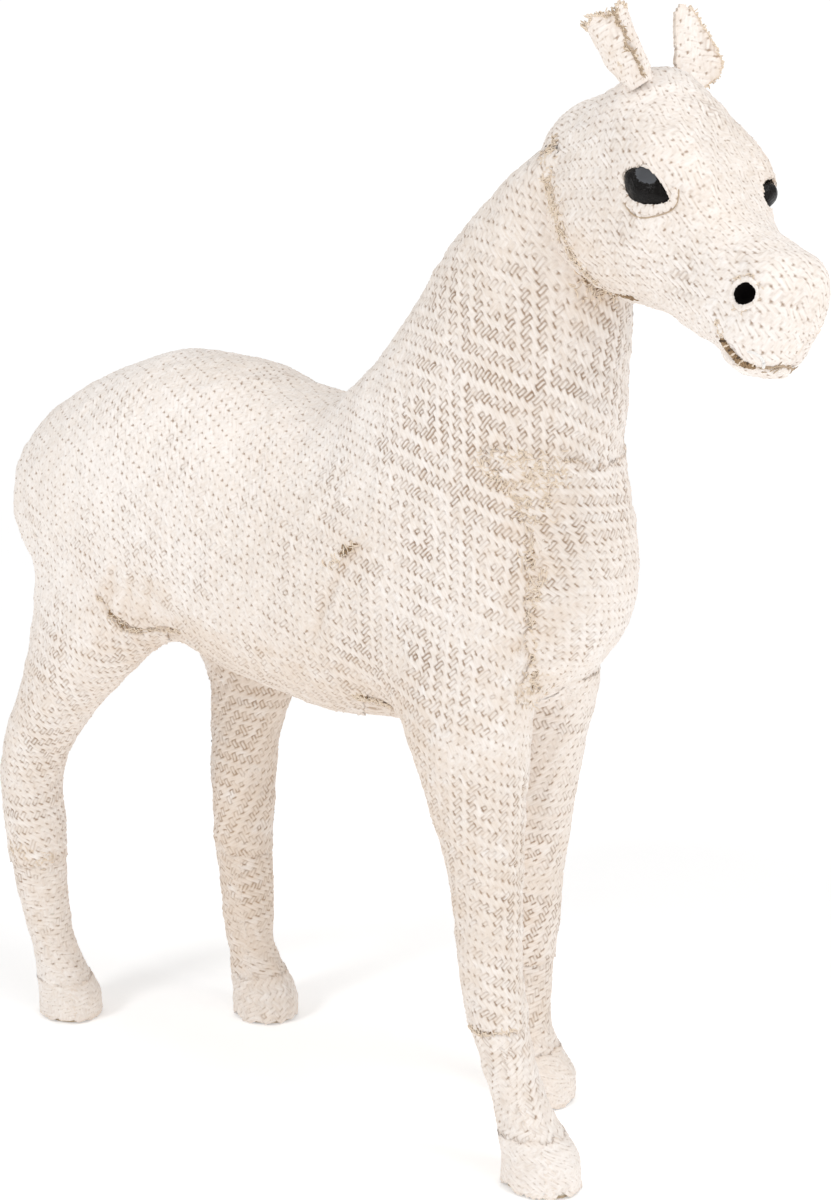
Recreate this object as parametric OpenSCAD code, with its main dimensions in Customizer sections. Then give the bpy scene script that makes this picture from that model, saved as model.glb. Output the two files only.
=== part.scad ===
// Standing horse figure: wire armature, papier-mache shells, rolled-paper legs,
// and a covering of woven cloth in separate panels. Millimetres, +Z up, +X to the head.

/* [Materials] */
// thickness of the woven cloth with its glue
cloth_t = 2; // [1:0.1:3]
// wall of the papier-mache shells
wall_t = 6; // [4:0.5:8]
// diameter of the armature wires
wire_d = 5; // [3:0.5:6]
// thickness of the card soles
sole_t = 1.6; // [1:0.1:3]

/* [Legs] */
// height of the cloth hoof covers
hoof_h = 30; // [20:1:34]
// top of the lower covers on the front legs
front_sock_h = 84; // [60:1:110]
// top of the lower covers on the hind legs
hind_sock_h = 108; // [80:1:140]

/* [Head] */
// turn of the head to its own right
head_turn = 20; // [10:1:25]
// pitch of the face below level
head_pitch = 24; // [18:1:30]
// diameter of the ball that each domed eye is cut from
eye_d = 32; // [28:1:36]
// outer diameter of a nostril lining
nostril_d = 11; // [8:0.5:14]

/* [Ears] */
// length of the rolled right ear
ear_right_l = 43; // [36:1:48]
// length of the folded left ear
ear_left_l = 36; // [30:1:42]
// diameter of the rolled root of an ear
ear_root_d = 9; // [8:0.5:10]
// gap around an ear's root
ear_gap = 0.5; // [0.3:0.1:1]
// diameter of the soft wire in an ear
ear_wire_d = 1.6; // [1:0.1:2]

/* [Hidden] */
// centre of the figure's box along X, moved to the origin
mid_x = 14.2;
mid_y = 0;
n_torso = 24;
n_neck = 20;
n_head = 20;
n_leg = 14;
core_in = cloth_t + wall_t;

cloth_c = [0.92, 0.88, 0.83];
paper_c = [0.76, 0.70, 0.60];
steel_c = [0.55, 0.56, 0.58];
card_c = [0.66, 0.56, 0.44];
tape_c = [0.85, 0.78, 0.62];
black_c = [0.04, 0.04, 0.045];
brown_c = [0.36, 0.24, 0.15];

// torso sections: x, top, bottom, half width
torso = [
  [-247, 320, 308, 6], [-244, 331, 298, 15], [-236, 346, 286, 27], [-224, 359, 274, 38],
  [-208, 370, 264, 47], [-190, 380, 258, 54], [-165, 394, 252, 60], [-130, 405, 244, 64],
  [-90, 404, 234, 65], [-50, 394, 227, 66], [-10, 388, 223, 66], [30, 388, 225, 64],
  [60, 391, 230, 60], [90, 388, 243, 55], [110, 380, 253, 48], [126, 368, 267, 39],
  [136, 355, 283, 28], [141, 342, 298, 16], [143, 331, 311, 6]
];

// neck sections: z, x, half length, half width
neck = [
  [318, 56, 64, 48], [345, 59, 70, 50], [370, 62, 75, 51], [398, 66, 76, 50],
  [415, 74, 69, 48], [436, 83, 61, 45], [457, 91, 54, 42], [479, 99, 47, 39],
  [500, 108, 38, 35], [521, 120, 28, 31], [535, 130, 18, 26]
];

// leg sections: z, x, y, half length, half width
leg_rf = [
  [0, 135, -46, 22, 18], [14, 135, -46, 21.5, 18], [28, 128, -46, 18, 16.5],
  [45, 119, -45, 15, 14.5], [61, 113, -45, 14.5, 14], [82, 107, -45, 15.5, 15],
  [101, 103, -44, 16, 16], [125, 100, -44, 16.5, 16.5], [146, 98, -43, 17.5, 17.5],
  [167, 96, -43, 19.5, 19], [188, 93, -43, 23, 21], [208, 90, -43, 27, 23],
  [238, 84, -42, 34, 26], [270, 77, -40, 42, 26], [305, 68, -34, 46, 20]
];
leg_lf = [
  [0, 80, 36, 22, 18], [14, 80, 36, 21.5, 18], [28, 74, 37, 18, 16.5],
  [45, 70, 38, 15, 14.5], [60, 69, 39, 15, 14], [82, 69, 40, 16, 15],
  [107, 70, 41, 16.5, 16], [131, 71, 42, 17.5, 17], [155, 72, 43, 19, 19],
  [179, 73, 43, 22, 21], [202, 74, 43, 25, 23], [232, 74, 42, 32, 25],
  [265, 71, 40, 40, 26], [305, 68, 34, 46, 20]
];
leg_rh = [
  [0, -206, -35, 19.5, 17], [12, -206, -35, 19, 17], [26, -210, -36, 16.5, 15],
  [46, -217, -37, 14, 13.5], [70, -221, -38, 15, 14.5], [94, -223, -39, 16, 16],
  [118, -224, -40, 17, 17], [140, -224, -41, 17.5, 17.5], [160, -220, -42, 19, 18.5],
  [182, -210, -42, 22, 21], [210, -192, -41, 28, 24], [230, -179, -40, 36, 26],
  [252, -166, -38, 46, 27], [285, -156, -34, 54, 26], [320, -154, -28, 54, 20]
];
leg_lh = [
  [0, -109, 31, 20, 17], [12, -109, 31, 19.5, 17], [26, -114, 32, 17, 15.5],
  [40, -120, 33, 14.5, 14], [62, -123, 34, 15.5, 15], [87, -125, 35, 16.5, 16],
  [118, -127, 36, 17.5, 17], [150, -127, 37, 19, 18.5], [176, -125, 38, 21, 20],
  [205, -120, 39, 26, 23], [240, -126, 38, 38, 26], [285, -146, 34, 54, 26],
  [320, -154, 28, 54, 20]
];

// head sections: distance along the face, top, bottom, half width
head = [
  [-35, -2, -20, 9], [-32, 9, -30, 17], [-25, 21, -38, 23], [-12, 31, -46, 29],
  [2, 38, -51, 32], [15, 44, -55, 34], [35, 44, -58, 36], [52, 38, -55, 37],
  [66, 31, -49, 36], [86, 19, -42, 30], [109, 11, -37, 25], [124, 12, -33, 24],
  [138, 14, -29, 22], [147, 11, -24, 18], [152, 6, -18, 12], [154, 0, -11, 6]
];
head_at = [141, 0, 533];
// lower lip sections: distance along the face, middle, half height, half width
lip = [
  [108, -38, 3, 8], [116, -39, 7, 14], [130, -38.5, 8.5, 17], [142, -37, 8, 15],
  [150, -35, 3, 7]
];
eye_at = [61, 21, 4];
// angle by which an eye looks up
eye_up = 27;
// distance of an eye's flat back from the middle of its ball
eye_back = 7;
nostril_at = [130, 20, -6];

// head frame: along the face, to its left, up from the face
hf = [cos(head_pitch) * cos(head_turn), -sin(head_turn), -sin(head_pitch) * cos(head_turn)];
hl = [cos(head_pitch) * sin(head_turn), cos(head_turn), -sin(head_pitch) * sin(head_turn)];
hu = [sin(head_pitch), 0, cos(head_pitch)];
function in_head(p) = head_at + p[0] * hf + p[1] * hl + p[2] * hu;

// ears, in the head frame: root, direction, half widths and half thicknesses along it
ear_right_at = [14, -19, 40];
ear_left_at = [8, 19, 40];
ear_right_dir = [-27, -20, 26] / norm([-27, -20, 26]);
ear_left_dir = [-20, 3, 27] / norm([-20, 3, 27]);
ear_right_form = [[0, 5, 4.4], [0.15, 8, 4.6], [0.4, 10, 6.5], [0.75, 10, 7], [1, 8, 6]];
ear_left_form = [[0, 5, 4.4], [0.15, 8, 4.6], [0.4, 12, 6], [0.75, 11, 5], [1, 5, 3]];

function bend(c, e) = sign(c) * pow(abs(c), 2 / e);

// a section shrunk by o, but never to nothing
function less(v, o) = max(v - o, v * 0.3);

function torso_rings(o) = [for (s = torso)
  let (zc = s[2] + (s[1] - s[2]) * 0.47, x = s[0] + (s[0] < -200 ? o : s[0] > 100 ? -o : 0))
  [for (i = [0:n_torso - 1])
    let (a = 360 * i / n_torso, c = bend(cos(a), 2.25), t = bend(sin(a), 2.25))
    [x, less(s[3], o) * c, zc + less(t > 0 ? s[1] - zc : zc - s[2], o) * t]]];

function neck_rings(o) = [for (s = neck) [for (i = [0:n_neck - 1])
  let (a = 360 * i / n_neck)
  [s[1] + (s[2] - o) * cos(a), (s[3] - o) * sin(a), s[0]]]];

function leg_rings(leg, o) = [for (s = leg) [for (i = [0:n_leg - 1])
  let (a = 360 * i / n_leg)
  [s[1] + (s[3] - o) * cos(a), s[2] + (s[4] - o) * sin(a), s[0]]]];

function head_rings(o) = [for (s = head)
  let (uc = (s[1] + s[2]) / 2, h = (s[1] - s[2]) / 2, f = s[0] + (s[0] < -8 ? o : s[0] > 135 ? -o : 0))
  [for (i = [0:n_head - 1])
    let (a = 360 * i / n_head)
    in_head([f, less(s[3], o) * bend(cos(a), 2.3), uc + less(h, o) * bend(sin(a), 2.3)])]];

function lip_rings(o) = [for (s = lip) [for (i = [0:13])
  let (a = 360 * i / 14)
  in_head([s[0], (s[3] - o) * cos(a), s[1] + (s[2] - o) * sin(a)])]];

function unit(v) = v / norm(v);
// rings along a path, square to it, with a side axis that the path never runs along
function tube_rings(path, r, side, n) = [for (j = [0:len(path) - 1])
  let (
    t = unit(path[min(j + 1, len(path) - 1)] - path[max(j - 1, 0)]),
    p = unit(cross(side, t)),
    q = cross(t, p))
  [for (i = [0:n - 1]) path[j] + r * (cos(360 * i / n) * p + sin(360 * i / n) * q)]];

function ear_rings(at, dir, form, len, o) =
  let (wide = unit(cross([0, 0, 1], dir)), thick = cross(dir, wide))
  [for (s = form) [for (i = [0:13])
    let (a = 360 * i / 14)
    in_head(at + dir * len * s[0] + wide * (s[1] - o) * cos(a) + thick * (s[2] - o) * sin(a))]];

function leg_line(leg) = [for (s = leg) if (s[0] > 8) [s[1], s[2], s[0]]];
function backward(v) = [for (i = [len(v) - 1:-1:0]) v[i]];
front_path = concat(leg_line(leg_rf), [[66, -16, 334], [66, 16, 334]], backward(leg_line(leg_lf)));
hind_path = concat(leg_line(leg_rh), [[-152, -14, 342], [-152, 14, 342]], backward(leg_line(leg_lh)));
spine_path = [
  [-205, 0, 338], [-152, 0, 348], [-90, 0, 340], [0, 0, 334], [66, 0, 341],
  [84, 0, 380], [96, 0, 430], [112, 0, 485], [128, 0, 518], in_head([8, 0, -8]), in_head([34, 0, -12])
];
braid_path = [for (p = [
  [110, -12, -33.5], [118, -14.5, -32], [130, -15, -31], [140, -13, -30], [147, -8.5, -29],
  [151, 0, -28.5],
  [147, 8.5, -29], [140, 13, -30], [130, 15, -31], [118, 14.5, -32], [110, 12, -33.5]
]) in_head(p)];

module loft(rings) {
  n = len(rings[0]);
  m = len(rings);
  polyhedron(
    points = [for (r = rings) each r],
    faces = concat(
      [[for (i = [0:n - 1]) i], [for (i = [n - 1:-1:0]) (m - 1) * n + i]],
      [for (j = [0:m - 2], i = [0:n - 1]) [j * n + i, (j + 1) * n + i, (j + 1) * n + (i + 1) % n]],
      [for (j = [0:m - 2], i = [0:n - 1]) [j * n + i, (j + 1) * n + (i + 1) % n, j * n + (i + 1) % n]]),
    convexity = 8);
}
// one mesh for a moulded shell or panel
module moulded() resize([0, 0, 0]) children();
module placed() translate([-mid_x, -mid_y, 0]) children();
module in_head_frame() multmatrix([
  [hf[0], hl[0], hu[0], head_at[0]],
  [hf[1], hl[1], hu[1], head_at[1]],
  [hf[2], hl[2], hu[2], head_at[2]],
  [0, 0, 0, 1]]) children();
module right_half() translate([-400, -300, -10]) cube([900, 300, 800]);
module left_half() translate([-400, 0, -10]) cube([900, 300, 800]);
module band(z0, z1) translate([-400, -300, z0]) cube([900, 600, z1 - z0]);
module ahead_of(x) translate([x, -300, -10]) cube([500, 600, 800]);

module torso_body(o) loft(torso_rings(o));
module neck_body(o) loft(neck_rings(o));
module head_body(o) loft(head_rings(o));
module lip_body(o) loft(lip_rings(o));
module leg_body(leg, o) loft(leg_rings(leg, o));
module all_legs(o) {
  leg_body(leg_rf, o);
  leg_body(leg_lf, o);
  leg_body(leg_rh, o);
  leg_body(leg_lh, o);
}
module front_rod(o) loft(tube_rings(front_path, wire_d / 2 + o, [1, 0, 0], 8));
module hind_rod(o) loft(tube_rings(hind_path, wire_d / 2 + o, [1, 0, 0], 8));
module spine_rod(o) loft(tube_rings(spine_path, wire_d / 2 + o, [0, 1, 0], 8));
module eye_socket(side) in_head_frame()
  translate([eye_at[0], side * eye_at[1], eye_at[2]]) sphere(d = eye_d + 0.6, $fn = 28);
module nostril_socket(side) in_head_frame()
  translate([nostril_at[0], side * 13.7, nostril_at[2]]) rotate([-90 * side, 0, 0])
    cylinder(d = nostril_d + 0.5, h = 14, $fn = 20);
module ear_seat(at) in_head_frame()
  translate(at) rotate([90, 0, 0])
    cylinder(d = ear_root_d + 2 * ear_gap, h = 16 + 2 * ear_gap, center = true, $fn = 24);
module face_openings() {
  eye_socket(1);
  eye_socket(-1);
  nostril_socket(1);
  nostril_socket(-1);
  ear_seat(ear_right_at);
  ear_seat(ear_left_at);
}

// ---- armature ----
module spine_wire() color(steel_c) placed() spine_rod(0);
module front_leg_wire() color(steel_c) placed() front_rod(0);
module hind_leg_wire() color(steel_c) placed() hind_rod(0);
module binding(at) color(tape_c) placed() moulded() difference() {
  translate(at) sphere(d = 20, $fn = 20);
  spine_rod(0.1);
  front_rod(0.1);
  hind_rod(0.1);
}
module front_binding() binding([66, 0, 337]);
module hind_binding() binding([-152, 0, 345]);

// ---- papier-mache shells ----
module torso_shell() difference() {
  torso_body(cloth_t);
  torso_body(core_in);
  neck_body(core_in + 2);
  front_rod(0.15);
  hind_rod(0.15);
}
module torso_shell_right() color(paper_c) placed() moulded() intersection() { torso_shell(); right_half(); }
module torso_shell_left() color(paper_c) placed() moulded() intersection() { torso_shell(); left_half(); }
module neck_shell() difference() {
  neck_body(cloth_t);
  neck_body(core_in);
  torso_body(cloth_t);
  head_body(cloth_t);
}
module neck_shell_right() color(paper_c) placed() moulded() intersection() { neck_shell(); right_half(); }
module neck_shell_left() color(paper_c) placed() moulded() intersection() { neck_shell(); left_half(); }
module head_shell() difference() {
  head_body(cloth_t);
  head_body(core_in - 1);
  neck_body(core_in + 2);
  face_openings();
}
module head_shell_right() color(paper_c) placed() moulded() intersection() {
  head_shell();
  in_head_frame() translate([-200, -199.4, -200]) cube([500, 200, 400]);
}
module head_shell_left() color(paper_c) placed() moulded() intersection() {
  head_shell();
  in_head_frame() translate([-200, 0.6, -200]) cube([500, 200, 400]);
}

// ---- legs: rolled-paper cores, hoof blocks, soles ----
module leg_core(leg) color(paper_c) placed() moulded() difference() {
  intersection() { leg_body(leg, cloth_t); band(24, 400); }
  torso_body(cloth_t);
  front_rod(0.15);
  hind_rod(0.15);
}
module leg_core_rf() leg_core(leg_rf);
module leg_core_lf() leg_core(leg_lf);
module leg_core_rh() leg_core(leg_rh);
module leg_core_lh() leg_core(leg_lh);
module hoof_block(leg) color(paper_c) placed() moulded() difference() {
  intersection() { leg_body(leg, cloth_t); band(sole_t, 24); }
  front_rod(0.15);
  hind_rod(0.15);
}
module hoof_block_rf() hoof_block(leg_rf);
module hoof_block_lf() hoof_block(leg_lf);
module hoof_block_rh() hoof_block(leg_rh);
module hoof_block_lh() hoof_block(leg_lh);
module sole(leg) color(card_c) placed() linear_extrude(sole_t)
  polygon([for (p = leg_rings(leg, cloth_t + 0.2)[0]) [p[0], p[1]]]);
module sole_rf() sole(leg_rf);
module sole_lf() sole(leg_lf);
module sole_rh() sole(leg_rh);
module sole_lh() sole(leg_lh);

// ---- cloth ----
module torso_cloth() difference() {
  torso_body(0);
  torso_body(cloth_t);
  neck_body(cloth_t);
  all_legs(cloth_t);
}
module torso_cover_right() color(cloth_c) placed() moulded() difference() {
  intersection() { torso_cloth(); right_half(); }
  ahead_of(92);
}
module torso_cover_left() color(cloth_c) placed() moulded() difference() {
  intersection() { torso_cloth(); left_half(); }
  ahead_of(92);
}
module chest_cover() color(cloth_c) placed() moulded() intersection() { torso_cloth(); ahead_of(92); }
module neck_cover() color(cloth_c) placed() moulded() difference() {
  neck_body(0);
  neck_body(cloth_t);
  torso_body(0);
  head_body(0);
}
module head_cover() color(cloth_c) placed() moulded() difference() {
  head_body(0);
  head_body(cloth_t);
  neck_body(cloth_t);
  face_openings();
}
module lower_lip() color(cloth_c) placed() moulded() difference() {
  lip_body(0);
  head_body(0);
}
module mouth_braid() color(brown_c) placed() moulded() difference() {
  loft(tube_rings(braid_path, 2, hu, 8));
  head_body(0);
  lip_body(0);
}
module leg_cloth(leg, z0, z1) color(cloth_c) placed() moulded() difference() {
  intersection() { leg_body(leg, 0); band(z0, z1); }
  leg_body(leg, cloth_t);
  torso_body(0);
}
module upper_leg_cover_rf() leg_cloth(leg_rf, front_sock_h, 400);
module upper_leg_cover_lf() leg_cloth(leg_lf, front_sock_h, 400);
module upper_leg_cover_rh() leg_cloth(leg_rh, hind_sock_h, 400);
module upper_leg_cover_lh() leg_cloth(leg_lh, hind_sock_h, 400);
module lower_leg_cover_rf() leg_cloth(leg_rf, hoof_h, front_sock_h);
module lower_leg_cover_lf() leg_cloth(leg_lf, hoof_h, front_sock_h);
module lower_leg_cover_rh() leg_cloth(leg_rh, hoof_h, hind_sock_h);
module lower_leg_cover_lh() leg_cloth(leg_lh, hoof_h, hind_sock_h);
module hoof_cover_rf() leg_cloth(leg_rf, 0.4, hoof_h);
module hoof_cover_lf() leg_cloth(leg_lf, 0.4, hoof_h);
module hoof_cover_rh() leg_cloth(leg_rh, 0.4, hoof_h);
module hoof_cover_lh() leg_cloth(leg_lh, 0.4, hoof_h);

// ---- ears, each with a rolled root that turns in its seat ----
module ear_wire_line(at, dir, len, o) loft([for (r = tube_rings(
  [at, at + dir * len * 0.45, at + dir * len * 0.9], ear_wire_d / 2 + o, [0, 1, 0], 8))
  [for (p = r) in_head(p)]]);
module ear(at, dir, form, len) color(cloth_c) placed() moulded() difference() {
  union() {
    in_head_frame() translate(at) rotate([90, 0, 0]) cylinder(d = ear_root_d, h = 16, center = true, $fn = 24);
    loft(ear_rings(at, dir, form, len, 0));
  }
  loft(ear_rings(at + dir * len * 0.15, dir, form, len, cloth_t - 0.2));
  ear_wire_line(at, dir, len, 0.05);
}
module ear_right() ear(ear_right_at, ear_right_dir, ear_right_form, ear_right_l);
module ear_left() ear(ear_left_at, ear_left_dir, ear_left_form, ear_left_l);
module ear_wire_right() color(steel_c) placed() ear_wire_line(ear_right_at, ear_right_dir, ear_right_l, 0);
module ear_wire_left() color(steel_c) placed() ear_wire_line(ear_left_at, ear_left_dir, ear_left_l, 0);

// ---- face ----
module eye(side) color(black_c) placed() in_head_frame()
  translate([eye_at[0], side * eye_at[1], eye_at[2]]) rotate([(eye_up - 90) * side, 0, 0])
    rotate_extrude($fn = 48) intersection() {
      circle(d = eye_d, $fn = 48);
      translate([0, eye_back]) square([eye_d, eye_d]);
    }
module eye_right() eye(-1);
module eye_left() eye(1);
module nostril(side) color(black_c) placed() in_head_frame()
  translate([nostril_at[0], side * 14, nostril_at[2]]) rotate([-90 * side, 0, 0]) difference() {
    cylinder(d = nostril_d, h = 8.5, $fn = 32);
    translate([0, 0, 1.5]) cylinder(d = nostril_d - 3, h = 8, $fn = 32);
  }
module nostril_right() nostril(-1);
module nostril_left() nostril(1);

spine_wire();
front_leg_wire();
hind_leg_wire();
front_binding();
hind_binding();
torso_shell_right();
torso_shell_left();
neck_shell_right();
neck_shell_left();
head_shell_right();
head_shell_left();
leg_core_rf();
leg_core_lf();
leg_core_rh();
leg_core_lh();
hoof_block_rf();
hoof_block_lf();
hoof_block_rh();
hoof_block_lh();
sole_rf();
sole_lf();
sole_rh();
sole_lh();
torso_cover_right();
torso_cover_left();
chest_cover();
neck_cover();
head_cover();
lower_lip();
mouth_braid();
upper_leg_cover_rf();
upper_leg_cover_lf();
upper_leg_cover_rh();
upper_leg_cover_lh();
lower_leg_cover_rf();
lower_leg_cover_lf();
lower_leg_cover_rh();
lower_leg_cover_lh();
hoof_cover_rf();
hoof_cover_lf();
hoof_cover_rh();
hoof_cover_lh();
ear_right();
ear_left();
ear_wire_right();
ear_wire_left();
eye_right();
eye_left();
nostril_right();
nostril_left();
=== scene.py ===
"""Looks of the cloth-covered horse figure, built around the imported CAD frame.

Lengths inside are millimetres in the frame the sections were drawn in, +X forward, +Y left, +Z up.
to_row() turns them into metres in the row frame, which is centred MID_X further forward.
"""
import math

import numpy as np
import bpy
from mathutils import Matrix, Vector


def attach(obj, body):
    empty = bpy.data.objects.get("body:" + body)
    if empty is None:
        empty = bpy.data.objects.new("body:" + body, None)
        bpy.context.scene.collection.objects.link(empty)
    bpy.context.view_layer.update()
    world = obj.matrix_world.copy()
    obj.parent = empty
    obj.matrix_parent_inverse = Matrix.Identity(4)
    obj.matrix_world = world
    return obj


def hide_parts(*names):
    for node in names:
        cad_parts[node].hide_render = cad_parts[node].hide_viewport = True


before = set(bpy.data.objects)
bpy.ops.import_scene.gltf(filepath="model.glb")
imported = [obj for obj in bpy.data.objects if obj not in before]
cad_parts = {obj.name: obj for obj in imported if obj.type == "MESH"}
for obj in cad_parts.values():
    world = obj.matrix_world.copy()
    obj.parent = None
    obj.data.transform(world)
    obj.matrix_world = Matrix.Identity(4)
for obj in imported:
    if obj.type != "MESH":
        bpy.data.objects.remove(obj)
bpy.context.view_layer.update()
MID_X = 14.2
PITCH = (3.8, 2.55)  # warp yarn to warp yarn, weft yarn to weft yarn


def to_row(p):
    return (np.asarray(p, float) - np.array([MID_X, 0, 0])) * 0.001


# ---------------------------------------------------------------- form
class Table:
    """Smooth monotone columns over stations."""

    def __init__(self, rows):
        a = np.array(rows, float)
        self.x, self.y = a[:, 0], a[:, 1:]
        self.h = np.diff(self.x)[:, None]
        d = np.diff(self.y, axis=0) / self.h
        m = np.zeros_like(self.y)
        m[0], m[-1] = d[0], d[-1]
        w1, w2 = 2 * self.h[1:] + self.h[:-1], self.h[1:] + 2 * self.h[:-1]
        same = d[:-1] * d[1:] > 0
        den = w1 / np.where(same, d[:-1], 1) + w2 / np.where(same, d[1:], 1)
        m[1:-1] = np.where(same, (w1 + w2) / np.where(same, den, 1), 0)
        self.m = m

    def __call__(self, x):
        x = np.clip(x, self.x[0], self.x[-1])
        i = np.clip(np.searchsorted(self.x, x, side="right") - 1, 0, len(self.x) - 2)
        h = self.h[i]
        t = (x - self.x[i])[:, None] / h
        t2, t3 = t * t, t * t * t
        v = (2 * t3 - 3 * t2 + 1) * self.y[i] + (t3 - 2 * t2 + t) * h * self.m[i]
        v += (3 * t2 - 2 * t3) * self.y[i + 1] + (t3 - t2) * h * self.m[i + 1]
        return v.T


# x, top, bottom, half width
TORSO = Table([
    (-250, 360, 266, 50), (-190, 384, 257, 57), (-165, 395, 252, 61), (-130, 405, 244, 64),
    (-90, 404, 234, 65), (-50, 393, 227, 66), (-10, 388, 223, 66), (30, 388, 225, 64),
    (60, 391, 230, 60), (90, 389, 241, 56), (150, 385, 256, 55)])
# z, x, half length, half width
NECK = Table([
    (318, 56, 64, 48), (345, 59, 70, 50), (370, 62, 75, 51), (398, 66, 76, 50), (415, 74, 69, 48),
    (436, 83, 61, 45), (457, 91, 54, 42), (479, 99, 47, 39), (500, 108, 38, 35), (521, 120, 28, 31),
    (535, 130, 18, 26)])
# z, x, y, half length, half width
LEGS = {
    "rf": Table([
        (0, 135, -46, 22, 18), (14, 135, -46, 21.5, 18), (28, 129, -46, 18, 16.5), (45, 121, -45, 15, 14.5),
        (61, 114, -45, 14.5, 14), (82, 107, -45, 15.5, 15), (101, 103, -44, 16, 16), (125, 100, -44, 16.5, 16.5),
        (146, 98, -43, 17.5, 17.5), (167, 96, -43, 19.5, 19), (188, 93, -43, 23, 21), (208, 90, -43, 27, 23),
        (238, 84, -42, 34, 26), (270, 77, -40, 42, 26), (305, 68, -34, 46, 20)]),
    "lf": Table([
        (0, 81, 36, 22, 18), (14, 81, 36, 21.5, 18), (28, 75, 37, 18, 16.5), (45, 71, 38, 15, 14.5),
        (60, 70, 39, 15, 14), (82, 70, 40, 16, 15), (107, 71, 41, 16.5, 16), (131, 71, 42, 17.5, 17),
        (155, 72, 43, 19, 19), (179, 73, 43, 22, 21), (202, 74, 43, 25, 23), (232, 74, 42, 32, 25),
        (265, 71, 40, 40, 26), (305, 68, 34, 46, 20)]),
    "rh": Table([
        (0, -206, -35, 19.5, 17), (12, -206, -35, 19, 17), (26, -210, -36, 16.5, 15), (46, -217, -37, 14, 13.5),
        (70, -221, -38, 15, 14.5), (94, -223, -39, 16, 16), (118, -224, -40, 17, 17), (140, -224, -41, 17.5, 17.5),
        (160, -220, -42, 19, 18.5), (182, -210, -42, 22, 21), (210, -192, -41, 28, 24), (230, -179, -40, 36, 26),
        (252, -166, -38, 46, 27), (285, -156, -34, 54, 26), (320, -154, -28, 54, 20)]),
    "lh": Table([
        (0, -109, 31, 20, 17), (12, -109, 31, 19.5, 17), (26, -114, 32, 17, 15.5), (40, -120, 33, 14.5, 14),
        (62, -123, 34, 15.5, 15), (87, -125, 35, 16.5, 16), (118, -127, 36, 17.5, 17), (150, -127, 37, 19, 18.5),
        (176, -125, 38, 21, 20), (205, -120, 39, 26, 23), (240, -126, 38, 38, 26), (285, -146, 34, 54, 26),
        (320, -154, 28, 54, 20)]),
}
# forward, top, bottom, half width in the head's own frame
HEAD = Table([
    (-40, 8, -44, 24), (-12, 21, -46, 28), (2, 33, -51, 31.5), (15, 42, -55, 34), (35, 44, -57, 36),
    (52, 39, -54.5, 37), (66, 32, -50, 36), (86, 21, -44.5, 30), (109, 13.5, -41.5, 25), (124, 14, -39.5, 24),
    (138, 15.5, -38, 23), (160, 12, -41, 21)])
# forward, middle, half height, half width
LIP = Table([(121, -34.5, 2.5, 8), (127, -36.4, 5.6, 15), (133, -37, 6.6, 18), (139, -36.8, 6.2, 17), (145, -35.4, 4.8, 12.5), (151, -34, 3, 7)])

TURN, NOD = math.radians(20), math.radians(24)
HEAD_AT = np.array([141.0, 0.0, 533.0])
HF = np.array([math.cos(NOD) * math.cos(TURN), -math.sin(TURN), -math.sin(NOD) * math.cos(TURN)])
HL = np.array([math.cos(NOD) * math.sin(TURN), math.cos(TURN), -math.sin(NOD) * math.sin(TURN)])
HU = np.array([math.sin(NOD), 0.0, math.cos(NOD)])
HEAD_AXES = np.stack([HF, HL, HU])


def to_head(p):
    return (p - HEAD_AT) @ HEAD_AXES.T


def from_head(q):
    return HEAD_AT + np.atleast_2d(np.asarray(q, float)) @ HEAD_AXES


def radial(parts, ratios, e):
    """Distance towards the middle of a section whose q is 1 on the skin."""
    q = sum(np.abs(r) ** e for r in ratios) ** (1 / e)
    r = np.sqrt(sum(p * p for p in parts))
    return r * (1 - 1 / np.maximum(q, 0.05))


def smin(a, b, k):
    h = np.clip(0.5 + 0.5 * (b - a) / k, 0, 1)
    return b + (a - b) * h - k * h * (1 - h)


def d_torso(p):
    x, y, z = p.T
    top, bot, w = TORSO(x)
    mid = bot + (top - bot) * 0.47
    hz = np.where(z > mid, top - mid, mid - bot)
    dx = np.where(x < -175, -175 - x, np.where(x > 80, x - 80, 0.0))
    return radial((y, z - mid, dx), (y / w, (z - mid) / hz, dx / np.where(x < 0, 73.0, 67.0)), 2.25)


def d_neck(p):
    x, y, z = p.T
    xc, a, b = NECK(z)
    dz = np.where(z < 318, 318 - z, np.where(z > 535, z - 535, 0.0))
    return radial((x - xc, y, dz), ((x - xc) / a, y / b, dz / np.where(z < 400, 40.0, 8.0)), 2.1)


def d_leg(p, leg):
    x, y, z = p.T
    t = LEGS[leg]
    xc, yc, a, b = t(z)
    dz = np.maximum(0, z - t.x[-1])
    return radial((x - xc, y - yc, dz), ((x - xc) / a, (y - yc) / b, dz / 20), 2.0)


def wave(p, size, seed):
    """A soft seeded noise of about -1 to 1."""
    r = np.random.default_rng(seed)
    out = np.zeros(len(p))
    for _ in range(7):
        d = r.normal(size=3)
        d /= np.linalg.norm(d)
        out += np.sin(p @ d * (2 * math.pi / (size * r.uniform(0.7, 1.5))) + r.uniform(0, 7))
    return out / 2.6


def d_trunk(p):
    """Torso and neck."""
    return smin(d_torso(p), d_neck(p), 28)


def d_body(p):
    d = d_trunk(p)
    for leg in LEGS:
        d = smin(d, d_leg(p, leg), 16)
    return d - 0.5 * wave(p, 75, 3)


def ball(q, at, size, e=2.0):
    v = [(q[:, i] - at[i]) for i in range(3)]
    return radial(v, [v[i] / size[i] for i in range(3)], e)


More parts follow.
